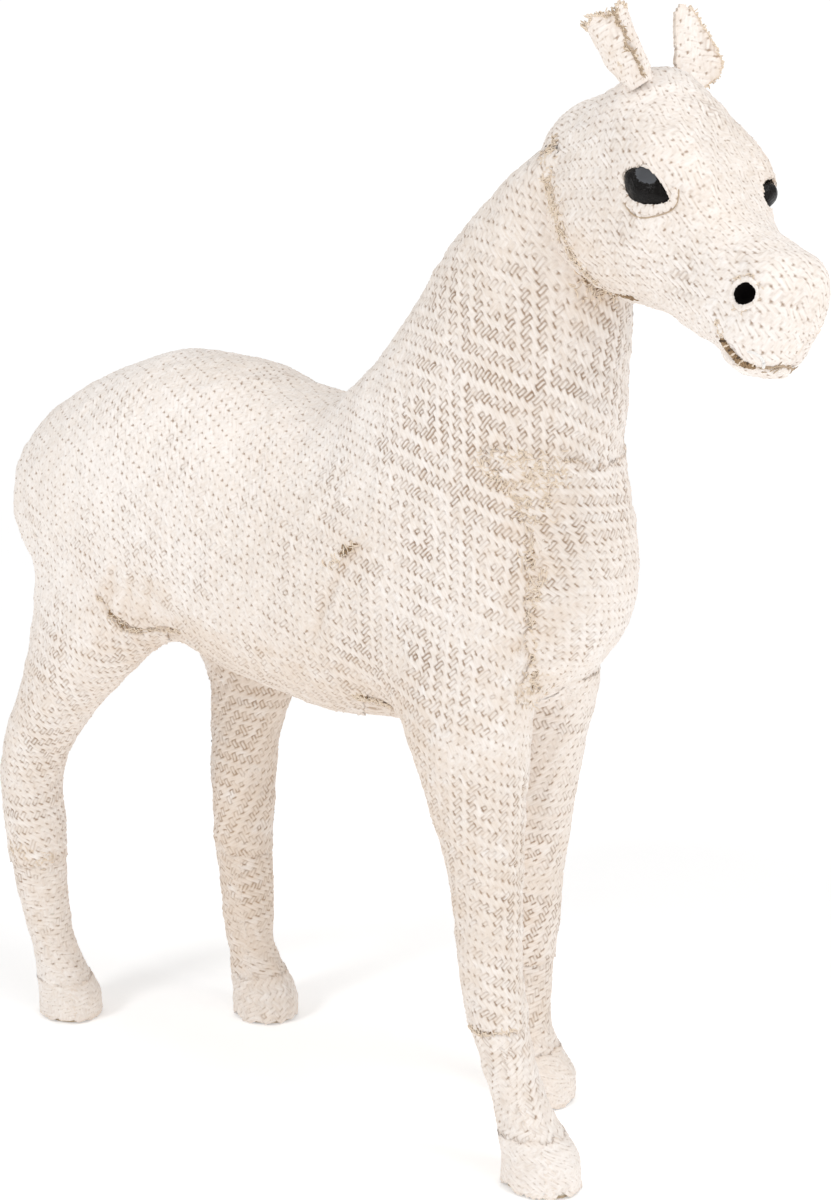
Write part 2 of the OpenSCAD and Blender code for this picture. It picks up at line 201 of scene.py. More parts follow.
def d_head_local(q):
    f, l, u = q.T
    top, bot, w = HEAD(f)
    mid, hz = (top + bot) / 2, (top - bot) / 2
    front = 126.8 - 0.16 * np.clip(u + 6, -26, 22)  # the front of the muzzle leans back a little
    df = np.where(f < -8, -8 - f, np.where(f > front, f - front, 0.0))
    e = 2.3 + 1.0 * np.clip((f - 95) / 55, 0, 1)
    d = radial((l, u - mid, df), (l / w, (u - mid) / hz, df / np.where(f < 0, 28.0, 21.4)), e)
    side = np.stack([f, np.abs(l), u], 1)
    left = smin(d, ball(side, (54, 24, 19), (24, 12, 11)), 14)  # brow over each eye
    right = smin(d, ball(side, (54, 22, 18), (26, 12, 14)), 18)
    k = np.clip(l / 24 + 0.5, 0, 1)
    d = right + (left - right) * k * k * (3 - 2 * k)
    d = smin(d, ball(q, (14, 3, 30), (20, 19, 15.5)), 10)  # crown between the ears
    return smin(d, ball(side, (30, 20, -24), (34, 17, 25)), 12)  # cheek


def d_head(p):
    return d_head_local(to_head(p)) - 0.4 * wave(p, 45, 5)


def d_lip(p):
    f, l, u = to_head(p).T
    mid, h, w = LIP(f)
    df = np.where(f < 128, 128 - f, np.where(f > 145, f - 145, 0.0))
    return radial((l, u - mid, df), (l / w, (u - mid) / h, df / 8.0), 2.1)


# ---------------------------------------------------------------- meshing and flattening
def surface_nets(field, lo, h):
    s = field < 0
    n = field.shape
    c = sum(s[a:n[0] - 1 + a, b:n[1] - 1 + b, d:n[2] - 1 + d].astype(np.uint8)
            for a in (0, 1) for b in (0, 1) for d in (0, 1))
    act = (c > 0) & (c < 8)
    idx = -np.ones(act.shape, np.int64)
    at = np.argwhere(act)
    idx[act] = np.arange(len(at))
    v, k = np.zeros((len(at), 3)), np.zeros(len(at))
    for ax in range(3):
        o = [a for a in range(3) if a != ax]
        for i in (0, 1):
            for j in (0, 1):
                p = np.zeros(3, int)
                p[o[0]], p[o[1]] = i, j
                q = p.copy()
                q[ax] = 1
                fa, fb = field[tuple((at + p).T)], field[tuple((at + q).T)]
                m = (fa < 0) != (fb < 0)
                v[m] += p + (q - p) * (fa[m] / (fa[m] - fb[m]))[:, None]
                k[m] += 1
    v = (v / k[:, None] + at) * h + lo
    quads = []
    for ax in range(3):
        o = [(ax + 1) % 3, (ax + 2) % 3]
        a = [slice(None)] * 3
        b = [slice(None)] * 3
        a[ax], b[ax] = slice(0, n[ax] - 1), slice(1, n[ax])
        e = np.argwhere(s[tuple(a)] != s[tuple(b)])
        e = e[(e[:, o[0]] > 0) & (e[:, o[1]] > 0) & (e[:, o[0]] < n[o[0]] - 1) & (e[:, o[1]] < n[o[1]] - 1)]
        inside = s[tuple(e.T)]
        corner = []
        for d0, d1 in ((-1, -1), (0, -1), (0, 0), (-1, 0)):
            x = e.copy()
            x[:, o[0]] += d0
            x[:, o[1]] += d1
            corner.append(idx[tuple(x.T)])
        q = np.stack(corner, 1)
        q[~inside] = q[~inside][:, ::-1]
        quads.append(q)
    return v, np.concatenate(quads)


def grid_mesh(sdf, lo, hi, h):
    lo, hi = np.array(lo, float), np.array(hi, float)
    n = np.ceil((hi - lo) / h).astype(int) + 1
    g = np.stack(np.meshgrid(*[lo[i] + h * np.arange(n[i]) for i in range(3)], indexing="ij"), -1).reshape(-1, 3)
    v, q = surface_nets(sdf(g).reshape(n), lo, h)
    for _ in range(3):
        v = v - normals_of(sdf, v) * sdf(v)[:, None] * 0.8
    return v, q


def normals_of(sdf, p, e=0.6):
    g = np.stack([sdf(p + e * d) - sdf(p - e * d) for d in np.eye(3)], 1)
    return g / (np.linalg.norm(g, axis=1)[:, None] + 1e-9)


def settle(sdf, p, n, layer=0.0, rounds=4, cap=4.0):
    """Moves points along their normals on to the skin."""
    for _ in range(rounds):
        d = sdf(p) - layer
        slope = (sdf(p + n * 0.4) - layer - d) / 0.4
        step = np.clip(d / np.clip(slope, 0.35, 3.0), -cap, cap)
        p = p - n * step[:, None]
    return p


def keep_faces(tri, good):
    """The largest piece of the faces whose corners are all good, without pinched corners."""
    t = tri[good[tri].all(1)]
    for _ in range(6):
        e = np.concatenate([t[:, [0, 1]], t[:, [1, 2]], t[:, [2, 0]]])
        n = good.shape[0]
        key, rev = e[:, 0] * n + e[:, 1], e[:, 1] * n + e[:, 0]
        edge = e[~np.isin(key, rev)]
        out = np.bincount(edge[:, 0], minlength=n)
        bad = out > 1
        if not bad.any():
            break
        t = t[~bad[t].any(1)]
    lab = np.arange(n)
    while True:
        m = lab[t].min(1)
        new = lab.copy()
        for k in range(3):
            np.minimum.at(new, t[:, k], m)
        new = new[new]
        if (new == lab).all():
            break
        lab = new
    root = lab[t[:, 0]]
    best = np.bincount(root).argmax()
    return t[root == best]


class Sparse:
    """A symmetric matrix of diagonal minus weights, and a conjugate-gradient solver for it."""

    def __init__(self, n, i, j, w):
        key = np.concatenate([i * n + j, j * n + i])
        key, inv = np.unique(key, return_inverse=True)
        self.w = np.bincount(inv, np.concatenate([w, w]))[:, None]
        self.col = key % n
        self.start = np.searchsorted(key // n, np.arange(n))
        self.diag = np.add.reduceat(self.w, self.start)

    def dot(self, x):
        return self.diag * x - np.add.reduceat(self.w * x[self.col], self.start)

    def solve(self, b, x, rounds, free=None, tol=1e-5):
        keep = 1.0 if free is None else free[:, None].astype(float)
        r = keep * (b - self.dot(x))
        z = r / self.diag
        p, rz = z.copy(), (r * z).sum(0)
        stop = tol * tol * np.abs(rz) + 1e-18
        for _ in range(rounds):
            ap = keep * self.dot(p)
            al = rz / ((p * ap).sum(0) + 1e-30)
            x = x + al * p
            r = r - al * ap
            z = r / self.diag
            new = (r * z).sum(0)
            if (new < stop).all():
                break
            p = z + (new / (rz + 1e-30)) * p
            rz = new
        return x


def flatten(v, t, rounds=150):
    """As-rigid-as-possible flat layout, right-handed seen from outside."""
    n = len(v)
    e1, e2 = v[t[:, 1]] - v[t[:, 0]], v[t[:, 2]] - v[t[:, 0]]
    ln = np.linalg.norm(e1, axis=1)
    ex = e1 / ln[:, None]
    nn = np.cross(e1, e2)
    nn /= np.linalg.norm(nn, axis=1)[:, None] + 1e-12
    ey = np.cross(nn, ex)
    x = np.zeros((len(t), 3, 2))
    x[:, 1, 0] = ln
    x[:, 2, 0], x[:, 2, 1] = (e2 * ex).sum(1), (e2 * ey).sum(1)
    cot = []
    for k in range(3):
        a, b = x[:, (k + 1) % 3] - x[:, k], x[:, (k + 2) % 3] - x[:, k]
        cot.append(np.clip((a * b).sum(1) / (np.abs(a[:, 0] * b[:, 1] - a[:, 1] * b[:, 0]) + 1e-9), 0.08, 4))
    # round start: the rim on a circle, the rest at the mean of its neighbours
    e = np.concatenate([t[:, [0, 1]], t[:, [1, 2]], t[:, [2, 0]]])
    key, rev = e[:, 0] * n + e[:, 1], e[:, 1] * n + e[:, 0]
    rim = e[~np.isin(key, rev)]
    nxt = {int(a): int(b) for a, b in rim}
    loops, seen = [], set()
    for s in nxt:
        if s in seen:
            continue
        loop, c = [], s
        while c not in seen and c in nxt:
            seen.add(c)
            loop.append(c)
            c = nxt[c]
        loops.append(loop)
    loop = np.array(max(loops, key=len))
    seg = np.linalg.norm(v[loop] - v[np.roll(loop, -1)], axis=1)
    ang = 2 * math.pi * np.concatenate([[0], np.cumsum(seg)[:-1]]) / seg.sum()
    rad = math.sqrt(len(t) * 0.5 * np.median(ln) ** 2 / math.pi)
    uv = np.zeros((n, 2))
    uv[loop] = rad * np.stack([np.cos(ang), np.sin(ang)], 1)
    free = np.ones(n, bool)
    free[loop] = False
    uv = Sparse(n, e[:, 0], e[:, 1], np.ones(len(e))).solve(np.zeros((n, 2)), uv, 900, free)
    # local turn, global fit
    fit = Sparse(n, np.concatenate([t[:, (k + 1) % 3] for k in range(3)]),
                 np.concatenate([t[:, (k + 2) % 3] for k in range(3)]), np.concatenate(cot))
    for _ in range(rounds):
        a = np.zeros(len(t))
        b = np.zeros(len(t))
        for k in range(3):
            i, j = (k + 1) % 3, (k + 2) % 3
            du, dx = uv[t[:, i]] - uv[t[:, j]], x[:, i] - x[:, j]
            a += cot[k] * (du[:, 0] * dx[:, 0] + du[:, 1] * dx[:, 1])
            b += cot[k] * (du[:, 1] * dx[:, 0] - du[:, 0] * dx[:, 1])
        r = np.hypot(a, b) + 1e-12
        c, s = a / r, b / r
        rhs = np.zeros((n, 2))
        for k in range(3):
            i, j = (k + 1) % 3, (k + 2) % 3
            dx = x[:, i] - x[:, j]
            w = cot[k][:, None] * np.stack([c * dx[:, 0] - s * dx[:, 1], s * dx[:, 0] + c * dx[:, 1]], 1)
            for d in range(2):
                rhs[:, d] += np.bincount(t[:, i], w[:, d], n) - np.bincount(t[:, j], w[:, d], n)
        uv = fit.solve(rhs, uv, 60, tol=1e-3)
    return uv, (x, ex, ey)


# ---------------------------------------------------------------- weave
STEPS = np.array([4, 3])  # lattice lines to a warp yarn and to a weft yarn


def zigzag(k, n=12):
    return np.abs((k + n) % (2 * n) - n)


def warp_up(i, j):
    """A 2/2 twill that turns back on itself every 12 yarns both ways, so it makes nested diamonds."""
    return ((zigzag(i) + zigzag(j)) % 4) < 2


def weave_height(a, b):
    """Height, side lines and end gaps of lattice corners: warp floats stand as slim bars between smooth bands of weft.
    Lines and gaps are amounts of painted shade, more at a bar's lower end than at its upper end.
    """
    i, j, s, t = a // STEPS[0], b // STEPS[1], a % STEPS[0], b % STEPS[1]
    i0, j0 = i.min() - 1, j.min() - 1
    whole = warp_up(np.arange(i0, i.max() + 2)[:, None], np.arange(j0, j.max() + 2)[None, :])

    def up(di, dj):
        return whole[i + di - i0, j + dj - j0]

    c, l, r, d, u, ld = up(0, 0), up(-1, 0), up(1, 0), up(0, -1), up(0, 1), up(-1, -1)
    mid, side = s == 2, (s == 1) | (s == 3)
    # on the yarns: bars of warp with a hollow along each side, else smooth weft
    bar = np.where(mid, 1.0, 0.12)
    h = np.where(c, bar - 0.1 * (((t == 1) & ~d) | ((t == 2) & ~u)), 0.84 - 0.12 * (((s == 1) & l) | ((s == 3) & r)))
    line, k = np.where(c & side, 1.0, 0.0), np.zeros(c.shape)
    # between weft yarns: a bar goes on, or ends in a gap
    h = np.where((s != 0) & (t == 0), np.where(c & d, bar, np.where(c | d, np.where(mid, -0.7, -0.35), 0.5)), h)
    line = np.where((s != 0) & (t == 0), 1.0 * (c & d & side), line)
    end = (s != 0) & (t == 0) & ~(c & d)
    # painted shade in the end gaps: fullest at a bar's lower end, less at its upper end
    k = np.where(end, np.where(c, 1.0, np.where(d, 0.7, 0.17)), k)
    k = np.where(mid & ~c & (t == 2) & u, 0.7, k)
    k = np.where(mid & ~c & (t == 1) & d, 0.36, k)
    h = np.where(mid & ~c & (((t == 2) & u) | ((t == 1) & d)), 0.45, h)
    # between warp yarns: weft going from one float to the next
    low = np.where(t == 0, 0.16, 0.0)
    n = c * 1 + l
    h = np.where(s == 0, np.where(n == 2, 0.4, np.where(n == 1, 0.6, 0.84)) - low, h)
    k = np.where(s == 0, np.where(n == 2, 0.16, np.where(n == 1, 0.06, 0.0)) + low, k)
    gap = (s == 0) & (t == 0) & ((c != d) | (l != ld))
    return np.where(gap, h - 0.3, h), line * (s != 0), np.where(gap, k + 0.12, k)


def shift(a, dx, dy, fill):
    out = np.full_like(a, fill)
    xs = slice(max(dx, 0), a.shape[0] + min(dx, 0))
    ys = slice(max(dy, 0), a.shape[1] + min(dy, 0))
    xt = slice(max(-dx, 0), a.shape[0] + min(-dx, 0))
    yt = slice(max(-dy, 0), a.shape[1] + min(-dy, 0))
    out[xs, ys] = a[xt, yt]
    return out


def relax(p, m, rounds):
    for _ in range(rounds):
        s, c = np.zeros_like(p), np.zeros(m.shape)
        for dx, dy in ((1, 0), (-1, 0), (0, 1), (0, -1)):
            mm = shift(m, dx, dy, False)
            s += np.where(mm[..., None], shift(p, dx, dy, 0.0), 0)
            c += mm
        full = m & (c == 4)
        p = np.where(full[..., None], 0.4 * p + 0.6 * s / np.maximum(c, 1)[..., None], p)
    return p


def seen(at, sdf, deg):
    """The direction on the skin that the photograph's camera sees at that angle from its horizontal."""
    az, pitch = math.radians(35), math.radians(16.3)
    fwd = np.array([-math.sin(az) * math.cos(pitch), math.cos(az) * math.cos(pitch), -math.sin(pitch)])
    rgt = np.array([math.cos(az), math.sin(az), 0.0])
    upw = np.cross(rgt, fwd)
    n = normals_of(sdf, np.array([at], float))[0]
    t = math.cos(math.radians(deg)) * rgt + math.sin(math.radians(deg)) * upw
    t = t - fwd * (t @ n) / (fwd @ n)
    return t / np.linalg.norm(t)


class Cloth:
    """A lattice of corners between and on the yarns: p positions, n normals, ok where there is cloth, a and b lattice numbers."""


def lattice_from_flat(v, n, t, uv, step):
    u = uv / step
    lo = np.floor(u.min(0)).astype(int) - 2
    lo -= lo % STEPS
    size = np.ceil(u.max(0)).astype(int) - lo + 3
    tid = -np.ones(size, int)
    bary = np.zeros((*size, 3))
    pts = u[t] - lo
    for k in range(len(t)):
        (ax, ay), (bx, by), (cx, cy) = pts[k]
        x0, x1 = math.ceil(min(ax, bx, cx)), math.floor(max(ax, bx, cx))
        y0, y1 = math.ceil(min(ay, by, cy)), math.floor(max(ay, by, cy))
        if x1 < x0 or y1 < y0:
            continue
        det = (bx - ax) * (cy - ay) - (cx - ax) * (by - ay)
        if det < 1e-9:
            continue
        gx, gy = np.meshgrid(np.arange(x0, x1 + 1), np.arange(y0, y1 + 1), indexing="ij")
        w1 = ((gx - ax) * (cy - ay) - (cx - ax) * (gy - ay)) / det
        w2 = ((bx - ax) * (gy - ay) - (gx - ax) * (by - ay)) / det
        w0 = 1 - w1 - w2
        hit = (w0 >= -1e-6) & (w1 >= -1e-6) & (w2 >= -1e-6)
        tid[gx[hit], gy[hit]] = k
        bary[gx[hit], gy[hit]] = np.stack([w0, w1, w2], -1)[hit]
    ok = tid >= 0
    c = Cloth()
    c.ok = ok
    w = bary[..., None]
    c.p = (v[t[tid]] * w).sum(2)
    nn = (n[t[tid]] * w).sum(2)
    c.n = nn / (np.linalg.norm(nn, axis=-1)[..., None] + 1e-9)
    c.a, c.b = np.meshgrid(lo[0] + np.arange(size[0]), lo[1] + np.arange(size[1]), indexing="ij")
    return c


def panel(mesh, sdf, member, at, along, pitch=PITCH, margin=9.0, turn=0.0, phase=(0, 0), rounds=150, skew=0.0):
    """Cloth cut for the region where member is over 0: flattened, laid with its warp along
    a direction and its weft pulled skew degrees off square, put back on the skin."""
    v, q = mesh
    tri = np.concatenate([q[:, [0, 1, 2]], q[:, [0, 2, 3]]])
    t = keep_faces(tri, member(v) > -margin)
    used, inv = np.unique(t, return_inverse=True)
    v, t = v[used], inv.reshape(-1, 3)
    n = normals_of(sdf, v)
    uv, (x, ex, ey) = flatten(v, t, rounds)
    mid = v[t].mean(1)
    k = np.linalg.norm(mid - np.array(at, float), axis=1).argmin()
    d = np.array(along, float)
    loc = np.array([d @ ex[k], d @ ey[k]])
    src = np.stack([x[k, 1] - x[k, 0], x[k, 2] - x[k, 0]], 1)
    dst = np.stack([uv[t[k, 1]] - uv[t[k, 0]], uv[t[k, 2]] - uv[t[k, 0]]], 1)
    g = dst @ np.linalg.inv(src) @ loc
    ang = math.pi / 2 - math.atan2(g[1], g[0]) + math.radians(turn)
    rot = np.array([[math.cos(ang), -math.sin(ang)], [math.sin(ang), math.cos(ang)]])
    uv = (uv - uv[t[k]].mean(0)) @ rot.T + np.array(phase, float) * np.array(pitch)
    sk = math.radians(skew)
    uv = np.stack([uv[:, 0] / math.cos(sk), uv[:, 1] + uv[:, 0] * math.tan(sk)], 1)
    c = lattice_from_flat(v, n, t, uv, np.array(pitch) / STEPS)
    c.p = relax(c.p, c.ok, 3)
    c.p[c.ok] = settle(sdf, c.p[c.ok], c.n[c.ok])
    c.m = np.full(c.ok.shape, -99.0)
    c.m[c.ok] = member(c.p[c.ok])
    return c


def strip(leg, z0, z1, mid_deg, half_deg, sdf, pitch=PITCH, turn=0.0, phase=(0, 0), over=0.0):
    """Cloth wrapped round part of a leg. over lets its edges run past the angle, in mm."""
    t = LEGS[leg]
    zz = np.linspace(z0 - 20, z1 + 20, 200)
    xc, yc, a, b = t(zz)
    ln = np.concatenate([[0], np.cumsum(np.sqrt(np.diff(xc) ** 2 + np.diff(yc) ** 2 + np.diff(zz) ** 2))])
    s0, s1 = np.interp(z0, zz, ln), np.interp(z1, zz, ln)
    rmax = np.sqrt((a * a + b * b) / 2).max() * math.radians(half_deg) + over + 6
    du, dv = np.array(pitch) / STEPS
    al = math.radians(turn)
    reach = math.hypot(rmax, (s1 - s0) / 2) + 8
    ku, kv = int(reach / du) + 2, int(reach / dv) + 2
    c = Cloth()
    c.a, c.b = np.meshgrid(np.arange(-ku, ku + 1), np.arange(-kv, kv + 1), indexing="ij")
    gu, gs = c.a * du, c.b * dv
    u = gu * math.cos(al) - gs * math.sin(al)
    s = gu * math.sin(al) + gs * math.cos(al) + (s0 + s1) / 2
    z = np.interp(s, ln, zz)
    shp = z.shape
    xc, yc, a, b = [w.reshape(shp) for w in t(z.ravel())]
    r = np.sqrt((a * a + b * b) / 2)
    off = u / r
    phi = math.radians(mid_deg) + off
    c.p = np.stack([xc + a * np.cos(phi), yc + b * np.sin(phi), z], -1)
    n = np.stack([np.cos(phi) / a, np.sin(phi) / b, np.zeros(shp)], -1)
    c.n = n / np.linalg.norm(n, axis=-1)[..., None]
    c.m = np.minimum(np.minimum(s - s0, s1 - s), (math.radians(half_deg) - np.abs(off)) * r + over)
    c.ok = c.m > -6
    c.a, c.b = c.a + STEPS[0] * phase[0], c.b + STEPS[1] * phase[1]
    c.p[c.ok] = settle(sdf, c.p[c.ok], c.n[c.ok], rounds=3, cap=8)
    n = c.n[c.ok] * 0.4 + normals_of(sdf, c.p[c.ok]) * 0.6
    c.n[c.ok] = n / np.linalg.norm(n, axis=1)[:, None]
    c.p[c.ok] = settle(sdf, c.p[c.ok], c.n[c.ok], rounds=3, cap=3)
    return c


def openness(p):
    """How far the yarns stand apart: most on the neck and shoulder, least where the cloth is stretched tight."""
    x, y, z = p.T
    k = 0.40 + 0.9 * np.exp(-((x - 105) ** 2 / 60 ** 2 + (z - 415) ** 2 / 75 ** 2))
    k -= 0.1 * soft(x - 150, 10) * soft(z - 430, 10)
    k += 0.4 * np.exp(-((x - 75) ** 2 / 75 ** 2 + (z - 300) ** 2 / 70 ** 2))
    k += 0.3 * soft(215 - z, 18) * soft(z - 45, 10)
    k += 0.12 * soft(262 - z, 14)
    k += 0.3 * soft(268 - z, 7) * soft(x + 150, 12) * soft(60 - x, 12)
    return np.clip(k + 0.14 * wave(p, 60, 77), 0.12, 1.15)


def stain_and_shade(p):
    """Browner places: the handled cloth round the seams, darker towards the bottom, with painted shade under the belly,
    on the chest front, at the groin, elbow and throat and in the folds, and painted light on the left side.
    """
    x, y, z = p.T
    # darker towards the bottom, much less on the left side: painted light making up for the shade the lamps leave there
    k = 0.12 + 0.4 * soft(252 - z, 22) * (1 - 0.85 * soft(y - 10, 6))
    # painted shade under the belly, between the legs
    k += 1.25 * soft(262 - z, 9) * soft(x + 135, 10) * soft(72 - x, 10)
    # painted shade on the front of the chest
    k += 0.2 * soft(x - 112, 8) * soft(376 - z, 10) * soft(z - 250, 10)
    k *= 1 - 0.6 * soft(34 - z, 5)
    # browner spots round the seams, the collar, the flank tear and a hind-leg patch; those at the groin, the elbow and
    # under the jaw are painted shade as well
    for at, r, much in (((116, -42, 376), 32, 0.55), ((123, -38, 335), 22, 0.45), ((122, -40, 300), 20, 0.4), ((118, -40, 268), 26, 0.5), ((-136, -60, 272), 24, 0.5),
                        ((146, -40, 492), 20, 0.4), ((165, -36, 470), 16, 0.4), ((143, -20, 466), 17, 0.8), ((28, -62, 331), 11, 0.4), ((28, -47, 245), 15, 0.5),
                        ((-88, -54, 262), 14, 0.4), ((-217, -50, 103), 14, 0.45), ((122, -33, 516), 11, 0.45), ((131, -41, 502), 11, 0.45),
                        ((143, -43, 486), 11, 0.45), ((-104, -62, 288), 10, 0.4)):
        k += much * np.exp(-((p - np.array(at)) ** 2).sum(1) / r ** 2)
    # the folds get painted shade as well
    return np.clip(k * (0.85 + 0.3 * wave(p, 15, 401) + 0.2 * wave(p, 6, 402)) + 0.5 * creased(p)[1], 0, 1)


# lines where the cloth is pulled into a fold: points, depth, width
CREASES = [
    ([(-146, -62, 276), (-141, -62, 270), (-137, -61, 265), (-132, -58, 261), (-126, -55, 258), (-119, -52, 259), (-110, -50, 261), (-98, -51, 262)], 1.5, 2.0),
    ([(-134, -63, 294), (-141, -62, 273)], 0.8, 2.4),
    ([(-121, -62, 293), (-131, -59, 267)], 0.9, 2.4),
    ([(-108, -63, 292), (-119, -54, 263)], 0.7, 2.4),
    ([(31, -63, 332), (25, -64, 323), (19, -65, 314), (14, -65, 304), (9, -65, 292), (3, -64, 280)], 0.9, 2.6),
    ([(126, -42, 330), (124, -43, 310), (122, -42, 290), (120, -38, 270)], 0.6, 3.0)]


def creased(p):
    """How deep the folds are, and how much of one there is."""
    deep, much = np.zeros(len(p)), np.zeros(len(p))
    for pts, depth, width in CREASES:
        pts = np.array(pts, float)
        near = np.nonzero(((p > pts.min(0) - 9) & (p < pts.max(0) + 9)).all(1))[0]
        if not len(near):
            continue
        q, best = p[near], np.full(len(near), 1e9)
        for a, b in zip(pts[:-1], pts[1:]):
            t = np.clip((q - a) @ (b - a) / ((b - a) @ (b - a)), 0, 1)
            best = np.minimum(best, ((q - a - t[:, None] * (b - a)) ** 2).sum(1))
        k = np.exp(-best / width ** 2)
        deep[near] += depth * k - 0.35 * depth * np.exp(-(np.sqrt(best) - 2.2 * width) ** 2 / width ** 2)
        much[near] = np.maximum(much[near], k)
    return deep, much


def finish_cloth(c, layer=0.0, amp=0.62, rag=1.0, lift=0.3, seed=1, slack=0.3, skirt=1.3, ridge=0.4, mark=1.0):
    """Weave relief with painted shade in its hollows, loose edges, kept faces, rim. Leaves c.v, c.q, c.uv, c.cav (the
    painted shade of the hollows), c.tint, c.rim.
    ridge brings out every single yarn, mark sets how much painted shade the gaps between floats get."""
    r = np.random.default_rng(seed)
    ia, ib = c.a // STEPS[0], c.b // STEPS[1]
    ya = r.normal(size=int(ia.max() - ia.min() + 2))[ia - ia.min()]
    yb = r.normal(size=int(ib.max() - ib.min() + 2))[ib - ib.min()]
    h, line, gap = weave_height(c.a, c.b)
    flat = c.p.reshape(-1, 3)
    fold, folded = creased(flat)
    # uneven openness, raised in the folds, where it deepens the relief and adds painted shade to the gaps
    patchy_and_fold_shade = 0.2 * wave(flat, 27, seed + 5) + 0.08 * wave(flat, 9, seed + 6) + 0.4 * folded
    show = np.clip(openness(flat) + patchy_and_fold_shade, 0.08, 1.2).reshape(c.a.shape)
    cell = r.normal(size=(2, int(ia.max() - ia.min() + 1), int(ib.max() - ib.min() + 1)))[:, ia - ia.min(), ib - ib.min()]
    fine = np.where(gap < 0.3, gap, 0.0)
    # painted shade in the gaps: where the cloth is tight it makes dots along the warp, where it is open it boxes in
    # each float
    box = np.where(c.a % STEPS[0] != 2, 0.14 + 0.74 * show, np.where(c.b % STEPS[1] == 0, 1.0, np.clip(1.2 - 0.9 * show, 0, 1)))
    # hollow is the amount of painted shade at each corner
    hollow = 0.57 * line * show ** 1.2 * np.clip(1 + 0.25 * cell[0], 0.1, 1.7)
    hollow += (gap - fine) * np.clip(box, 0, 1) * np.clip(0.8 + 0.3 * show + 0.26 * cell[1], 0.15, 1.4)
    hollow = mark * hollow + fine * (0.7 + 1.6 * ridge)
    h = h - ridge * 0.9 * fine * (1 + 0.3 * cell[0])
    up = warp_up(ia, ib)
    top = np.where(up, ya, yb)
    spot = r.normal(size=c.a.shape)
    ragged = rag * (0.5 * np.where(c.b % STEPS[1] == 2, yb, ya) + 0.7 * wave(c.p.reshape(-1, 3), 9, seed).reshape(c.a.shape))
    keep = c.ok & (c.m + ragged > 0)
    near = np.clip(1 - c.m / 4.0, 0, 1)
    rise = layer + amp * (0.55 + 0.45 * show) * h * (1 + 0.12 * top + 0.14 * cell[0]) + 0.09 * spot
    rise += lift * near ** 2 * (0.5 + 0.8 * wave(c.p.reshape(-1, 3), 14, seed + 1).reshape(c.a.shape))
    rise += slack * wave(c.p.reshape(-1, 3), 22, seed + 2).reshape(c.a.shape) - fold.reshape(c.a.shape)
    p = c.p + c.n * rise[..., None]
    p += np.stack([wave(c.p.reshape(-1, 3), 12, seed + k).reshape(c.a.shape) for k in (11, 12, 13)], -1) * 0.3
    quad = keep[:-1, :-1] & keep[1:, :-1] & keep[1:, 1:] & keep[:-1, 1:]
    for _ in range(2):  # no single hanging cells
        nb = sum(shift(quad, dx, dy, False).astype(int) for dx, dy in ((1, 0), (-1, 0), (0, 1), (0, -1)))
        quad &= nb >= 2
    qi, qj = np.nonzero(quad)
    idx = np.arange(c.a.size).reshape(c.a.shape)
    q = np.stack([idx[qi, qj], idx[qi + 1, qj], idx[qi + 1, qj + 1], idx[qi, qj + 1]], 1)
    used, inv = np.unique(q, return_inverse=True)
    q = inv.reshape(-1, 4)
    c.v = p.reshape(-1, 3)[used]
    c.base = c.p.reshape(-1, 3)[used]
    c.vn = c.n.reshape(-1, 3)[used]
    c.q = q
    c.uv = np.stack([c.a.ravel()[used], c.b.ravel()[used]], 1) / STEPS
    # painted shade of the hollows between yarns
    c.cav = np.clip(hollow.ravel()[used], 0, 1)
    c.tint = top.ravel()[used] * 0.6 + 0.4 * spot.ravel()[used]
    # browner near the cut edges, plus the stains, painted shade and painted light from the stain function
    c.edge = np.maximum(near.ravel()[used], stain_and_shade(c.base))
    c.face_up = up[qi, qj].astype(float)
    # rim turned under
    n = len(c.v)
    e = np.concatenate([q[:, [0, 1]], q[:, [1, 2]], q[:, [2, 3]], q[:, [3, 0]]])
    key, rev = e[:, 0] * n + e[:, 1], e[:, 1] * n + e[:, 0]
    rim = e[~np.isin(key, rev)]
    c.rim = rim
    ends = np.unique(rim)
    where = -np.ones(n, int)
    where[ends] = n + np.arange(len(ends))
    c.v = np.concatenate([c.v, c.v[ends] - c.vn[ends] * skirt])
    c.vn = np.concatenate([c.vn, c.vn[ends]])
    c.base = np.concatenate([c.base, c.base[ends]])
    c.uv = np.concatenate([c.uv, c.uv[ends] + 0.3])
    # the turned-under rim gets more painted shade, and the full brown of a handled cut edge
    c.cav = np.concatenate([c.cav, np.minimum(c.cav[ends] + 0.25, 1)])
    c.tint = np.concatenate([c.tint, c.tint[ends]])
    c.edge = np.concatenate([c.edge, np.ones(len(ends))])
    c.q = np.concatenate([q, np.stack([rim[:, 1], rim[:, 0], where[rim[:, 0]], where[rim[:, 1]]], 1)])
    c.face_up = np.concatenate([c.face_up, np.zeros(len(rim))])
    # shading normals from the whole cloth, so that it can be split without a line
    a, b, d, f = (c.v[c.q[:, k]] for k in range(4))
    fn = np.cross(d - a, f - b)
    vn = np.zeros_like(c.v)
    main = slice(0, len(q))
    for k in range(4):
        np.add.at(vn, c.q[main, k], fn[main])
    skin = np.linalg.norm(vn, axis=1) < 1e-9
    vn[skin] = 0.2 * c.vn[skin]
    side = np.cross(c.v[rim[:, 1]] - c.v[rim[:, 0]], c.vn[rim[:, 0]])
    side /= np.linalg.norm(side, axis=1)[:, None] + 1e-9
    for k in range(2):
        np.add.at(vn, where[rim[:, k]], side)
    c.shade = vn / (np.linalg.norm(vn, axis=1)[:, None] + 1e-12)
    return c


def split(c, label, value):
    """The faces of a finished cloth whose middle has that label."""
    lab = label(c.base[c.q].mean(1))
    f = lab == value
    return part(c, f)


def part(c, f):
    o = Cloth()
    q = c.q[f]
    used, inv = np.unique(q, return_inverse=True)
    o.q = inv.reshape(-1, 4)
    for k in ("v", "vn", "base", "uv", "cav", "tint", "edge", "shade"):
        setattr(o, k, getattr(c, k)[used])
    o.face_up = c.face_up[f]
    return o


